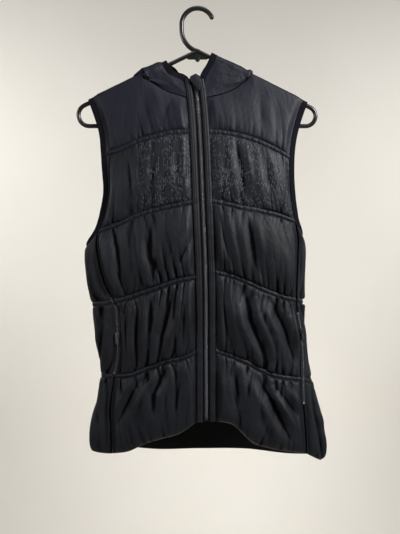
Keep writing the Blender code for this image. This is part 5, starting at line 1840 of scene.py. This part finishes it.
def make_pocket(side):
    """Zip tape, coil, sliders' metal and bottom stop of a pocket."""
    name = SIDE_NAMES[side]
    top, bottom = POCKETS[side]
    frames = [pocket_frame(side, drop) for drop in np.linspace(top, bottom, POCKET_ROWS)]
    half, middle, low, high = POCKET_TAPE_HALF, POCKET_TAPE_MIDDLE, POCKET_TAPE_BASE, POCKET_TAPE_TOP
    outline = [(-half, low), (-half, high), (-middle, high), (middle, high), (half, high), (half, low)]
    sections = np.array([[here + across * along + out * height for along, height in outline]
                         for here, across, out, _ in frames])
    tape = swept(f"pocket_tape_{name}", sections, [TWILL])
    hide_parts(f"pocket_zip_{name}")
    places = []
    first, last = top + COIL_ENDS[0], bottom - COIL_ENDS[1]
    for number, drop in enumerate(np.arange(first, last, POCKET_PITCH / 2)):
        here, across, out, up = pocket_frame(side, drop)
        shift = COIL_SHIFT * (1 if number % 2 else -1)
        places.append(placing(here + across * shift + out * (high - COIL_SUNK), across, up, out))
    copies(f"pocket_coil_{name}", block(POCKET_TOOTH, COIL_BEVEL), places, ACETAL)
    here, across, out, up = pocket_frame(side, bottom - POCKET_STOP_RISE)
    stop = placing(here + out * high, across, up, out)
    copies(f"pocket_stop_{name}", block(POCKET_STOP, *POCKET_STOP_BEVEL), [stop], ZINC)
    refinished(f"pocket_slider_{name}", ZINC)
    refinished(f"pocket_pull_{name}", ZINC)


# ---------------------------------------------------------------- hanger

def arc(centre, radius, start, end, steps):
    """Points of an arc in x and drop; angles in degrees, 0 at +X and 90 up."""
    angles = np.radians(np.linspace(start, end, steps + 1))
    return [(centre[0] + radius * math.cos(a), centre[1] - radius * math.sin(a)) for a in angles]


def frame_path():
    """Arms, end loops and bar as one closed path."""
    points = []
    for side in (LEFT, RIGHT):
        slope = ARM_SLOPE + side * ARM_TILT
        arm_at_loop = APEX_DROP + slope * LOOP_X
        radius = (BAR_DROP - arm_at_loop) / (1.0 + math.hypot(1.0, slope))
        lean = 90.0 - math.degrees(math.atan(slope))
        loop = arc((LOOP_X, BAR_DROP - radius), radius, lean, -90.0, LOOP_PARTS)
        loop = [(side * x, drop) for x, drop in loop]
        points += loop if side == LEFT else loop[::-1]
    return points + [(0.0, APEX_DROP)]


def hook_path():
    points = arc((0.0, HOOK_RADIUS - HOOK_ROD), HOOK_RADIUS, HOOK_TIP_ANGLE, 180.0, HOOK_PARTS)
    low = points[-1][1] + HOOK_STRAIGHT
    end = 270.0 - math.degrees(math.atan(ARM_SLOPE + ARM_TILT))
    centre = (-HOOK_RADIUS + HOOK_NECK_RADIUS, low)
    points += arc(centre, HOOK_NECK_RADIUS, 180.0, end, HOOK_NECK_PARTS)
    points.append((HOOK_FOOT, APEX_DROP + HOOK_FOOT * ARM_SLOPE))
    return points


def tube(name, points, radius, cyclic):
    path = bpy.data.curves.new(name, "CURVE")
    path.dimensions = "3D"
    path.bevel_depth = radius * MM
    path.bevel_resolution = TUBE_FINENESS
    path.use_fill_caps = True
    spline = path.splines.new("POLY")
    spline.points.add(len(points) - 1)
    for place, (x, drop) in zip(spline.points, points):
        place.co = (x * MM, 0.0, -drop * MM, 1.0)
    spline.use_cyclic_u = cyclic
    thing = bpy.data.objects.new(name, path)
    mesh = bpy.data.meshes.new_from_object(thing)
    bpy.data.objects.remove(thing)
    return mesh


def make_web():
    """The small plate in the fork of the arms, with the round nub at its foot."""
    web = bmesh.new()
    wide, narrow = WEB_HALF_WIDTH, WEB_HALF_WIDTH * WEB_TAPER
    shoulder = APEX_DROP + ARM_SLOPE * WEB_HALF_WIDTH
    corners = ((0.0, APEX_DROP), (wide, shoulder), (narrow, WEB_DROP), (-narrow, WEB_DROP),
               (-wide, shoulder))
    points = [(x * MM, -WEB_THICK / 2 * MM, -drop * MM) for x, drop in corners]
    plate(web, points, (0.0, WEB_THICK * MM, 0.0))
    bevelled(web, web.edges[:], *PLATE_BEVEL)
    place = Matrix.Translation((0.0, 0.0, -WEB_DROP * MM)) @ Matrix.Rotation(math.pi / 2, 4, "X")
    nub = bmesh.ops.create_cone(web, cap_ends=True, segments=NUB_PARTS, radius1=NUB_RADIUS * MM,
                                radius2=NUB_RADIUS * MM, depth=NUB_THICK * MM, matrix=place)
    rim = [edge for edge in web.edges if all(vert in nub["verts"] for vert in edge.verts)
           and abs(edge.verts[0].co.y - edge.verts[1].co.y) < SAME_LEVEL * MM]
    bevelled(web, rim, *NUB_BEVEL)
    joined = bpy.data.meshes.new("web")
    web.to_mesh(joined)
    web.free()
    return joined


def make_hanger():
    bm = bmesh.new()
    bm.from_mesh(tube("frame", frame_path(), ROD, True))
    bm.from_mesh(tube("hook", hook_path(), HOOK_ROD, False))
    x, drop = hook_path()[0]
    around, along = BALL_PARTS
    bmesh.ops.create_uvsphere(bm, u_segments=around, v_segments=along, radius=HOOK_ROD * MM,
                              matrix=Matrix.Translation((x * MM, 0.0, -drop * MM)))
    bm.from_mesh(make_web())
    piece = finish("tube_hanger", bm, [STYRENE])
    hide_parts("hanger")


# ---------------------------------------------------------------- the whole vest

def make_vest():
    plan = row_plan(YOKE)
    back_q = make_back(plan)
    for side in (RIGHT, LEFT):
        front_q = make_front(side, plan)
        make_side(side)
        points, outs = armhole_points(side, plan, front_q, back_q)
        name = SIDE_NAMES[side]
        make_band(f"armhole_band_{name}", points, outs, side, ARMHOLE_BAND, 0.0, True,
                  f"armhole_binding_{name}")
        make_pocket(side)
    make_hood()
    make_front_zip()
    make_hanger()


# ---------------------------------------------------------------- stage, light and camera

# Lengths from here on are in metres. The floor and wall are one sheet with a round cove.
FLOOR_DROP = 2.7
FLOOR_HALF = 6.0
FLOOR_FRONT = -4.0
WALL_DISTANCE = 3.0
WALL_HEIGHT = 5.4
COVE = 0.8
COVE_PARTS = 16
PAINT_CLOUDS = 500.0
SKY_TONE = "#ece6da"
SKY_STRENGTH = 0.06
CAMERA_PLACE = (0.0043, -0.945, -0.348)
CAMERA_PITCH = 84.0
CAMERA_LENS = 35.1
CAMERA_SENSOR = 36.0
# Lights: name, place, aim, width, power
LIGHTS = (
    ("key", (1.3, -0.95, 0.5), (0.0, 0.0, -0.42), 0.6, 46.0),
    ("fill", (-1.6, -1.0, 0.0), (0.0, 0.0, -0.48), 0.7, 12.0),
    ("top", (0.1, -0.45, 1.3), (0.0, 0.0, -0.3), 0.6, 6.0),
    ("wall_right", (2.4, 1.3, 0.3), (0.4, 3.2, -0.5), 1.2, 29.0),
    ("wall_left", (-2.4, 1.3, 0.3), (-0.5, 3.2, -0.5), 1.2, 36.0),
    ("wall_low", (0.3, 1.0, -2.2), (0.1, 3.2, -1.2), 1.2, 20.0),
)


def make_floor(paint):
    """Floor and wall in one sheet, with a round cove between them."""
    bm = bmesh.new()
    corners = ((-FLOOR_HALF, FLOOR_FRONT), (FLOOR_HALF, FLOOR_FRONT),
               (FLOOR_HALF, WALL_DISTANCE), (-FLOOR_HALF, WALL_DISTANCE))
    verts = [bm.verts.new((x, y, -FLOOR_DROP)) for x, y in corners]
    corner = bm.edges.new(verts[2:])
    bm.faces.new(verts)
    wall_up = bmesh.ops.extrude_edge_only(bm, edges=[corner])
    moved = [part for part in wall_up["geom"] if isinstance(part, bmesh.types.BMVert)]
    bmesh.ops.translate(bm, verts=moved, vec=(0.0, 0.0, WALL_HEIGHT))
    bmesh.ops.bevel(bm, geom=[corner], offset=COVE, segments=COVE_PARTS, affect="EDGES",
                    profile=0.5, material=-1)
    mesh = bpy.data.meshes.new("floor")
    bm.to_mesh(mesh)
    bm.free()
    mesh.shade_smooth()
    mesh.materials.append(paint)
    floor = bpy.data.objects.new("floor", mesh)
    bpy.context.collection.objects.link(floor)


def make_stage():
    # Matt wall paint: an even, warm off-white
    paint, tree, shader = new_finish("matt_emulsion", Roughness=0.9)
    place = add(tree, "TexCoord").outputs["Object"]
    cloudy = add(tree, "TexNoise", {"Vector": place, "Scale": per(PAINT_CLOUDS)})
    colour = add(tree, "ValToRGB", {"Fac": cloudy.outputs["Fac"]})
    for stop, code in zip(colour.color_ramp.elements, ("#e5e0d7", "#eae6de")):
        stop.color = tone(code)
    plug(tree, shader, {"Base Color": colour.outputs["Color"]})
    make_floor(paint)
    world = bpy.data.worlds.new("studio")
    world.use_nodes = True
    sky = world.node_tree.nodes["Background"]
    sky.inputs["Color"].default_value = tone(SKY_TONE)
    sky.inputs["Strength"].default_value = SKY_STRENGTH
    bpy.context.scene.world = world


def make_lights():
    for name, place, aim, width, power in LIGHTS:
        lamp = bpy.data.lights.new(name, "AREA")
        lamp.size = width
        lamp.energy = power
        thing = bpy.data.objects.new(name, lamp)
        thing.location = place
        thing.rotation_euler = (Vector(aim) - Vector(place)).to_track_quat("-Z", "Y").to_euler()
        bpy.context.collection.objects.link(thing)


def make_camera():
    lens = bpy.data.cameras.new("camera")
    lens.lens = CAMERA_LENS
    lens.sensor_width = CAMERA_SENSOR
    camera = bpy.data.objects.new("camera", lens)
    camera.location = CAMERA_PLACE
    camera.rotation_euler = (math.radians(CAMERA_PITCH), 0.0, 0.0)
    bpy.context.collection.objects.link(camera)
    bpy.context.scene.camera = camera


make_vest()
bpy.context.scene.view_settings.view_transform = "Standard"
make_stage()
make_lights()
make_camera()
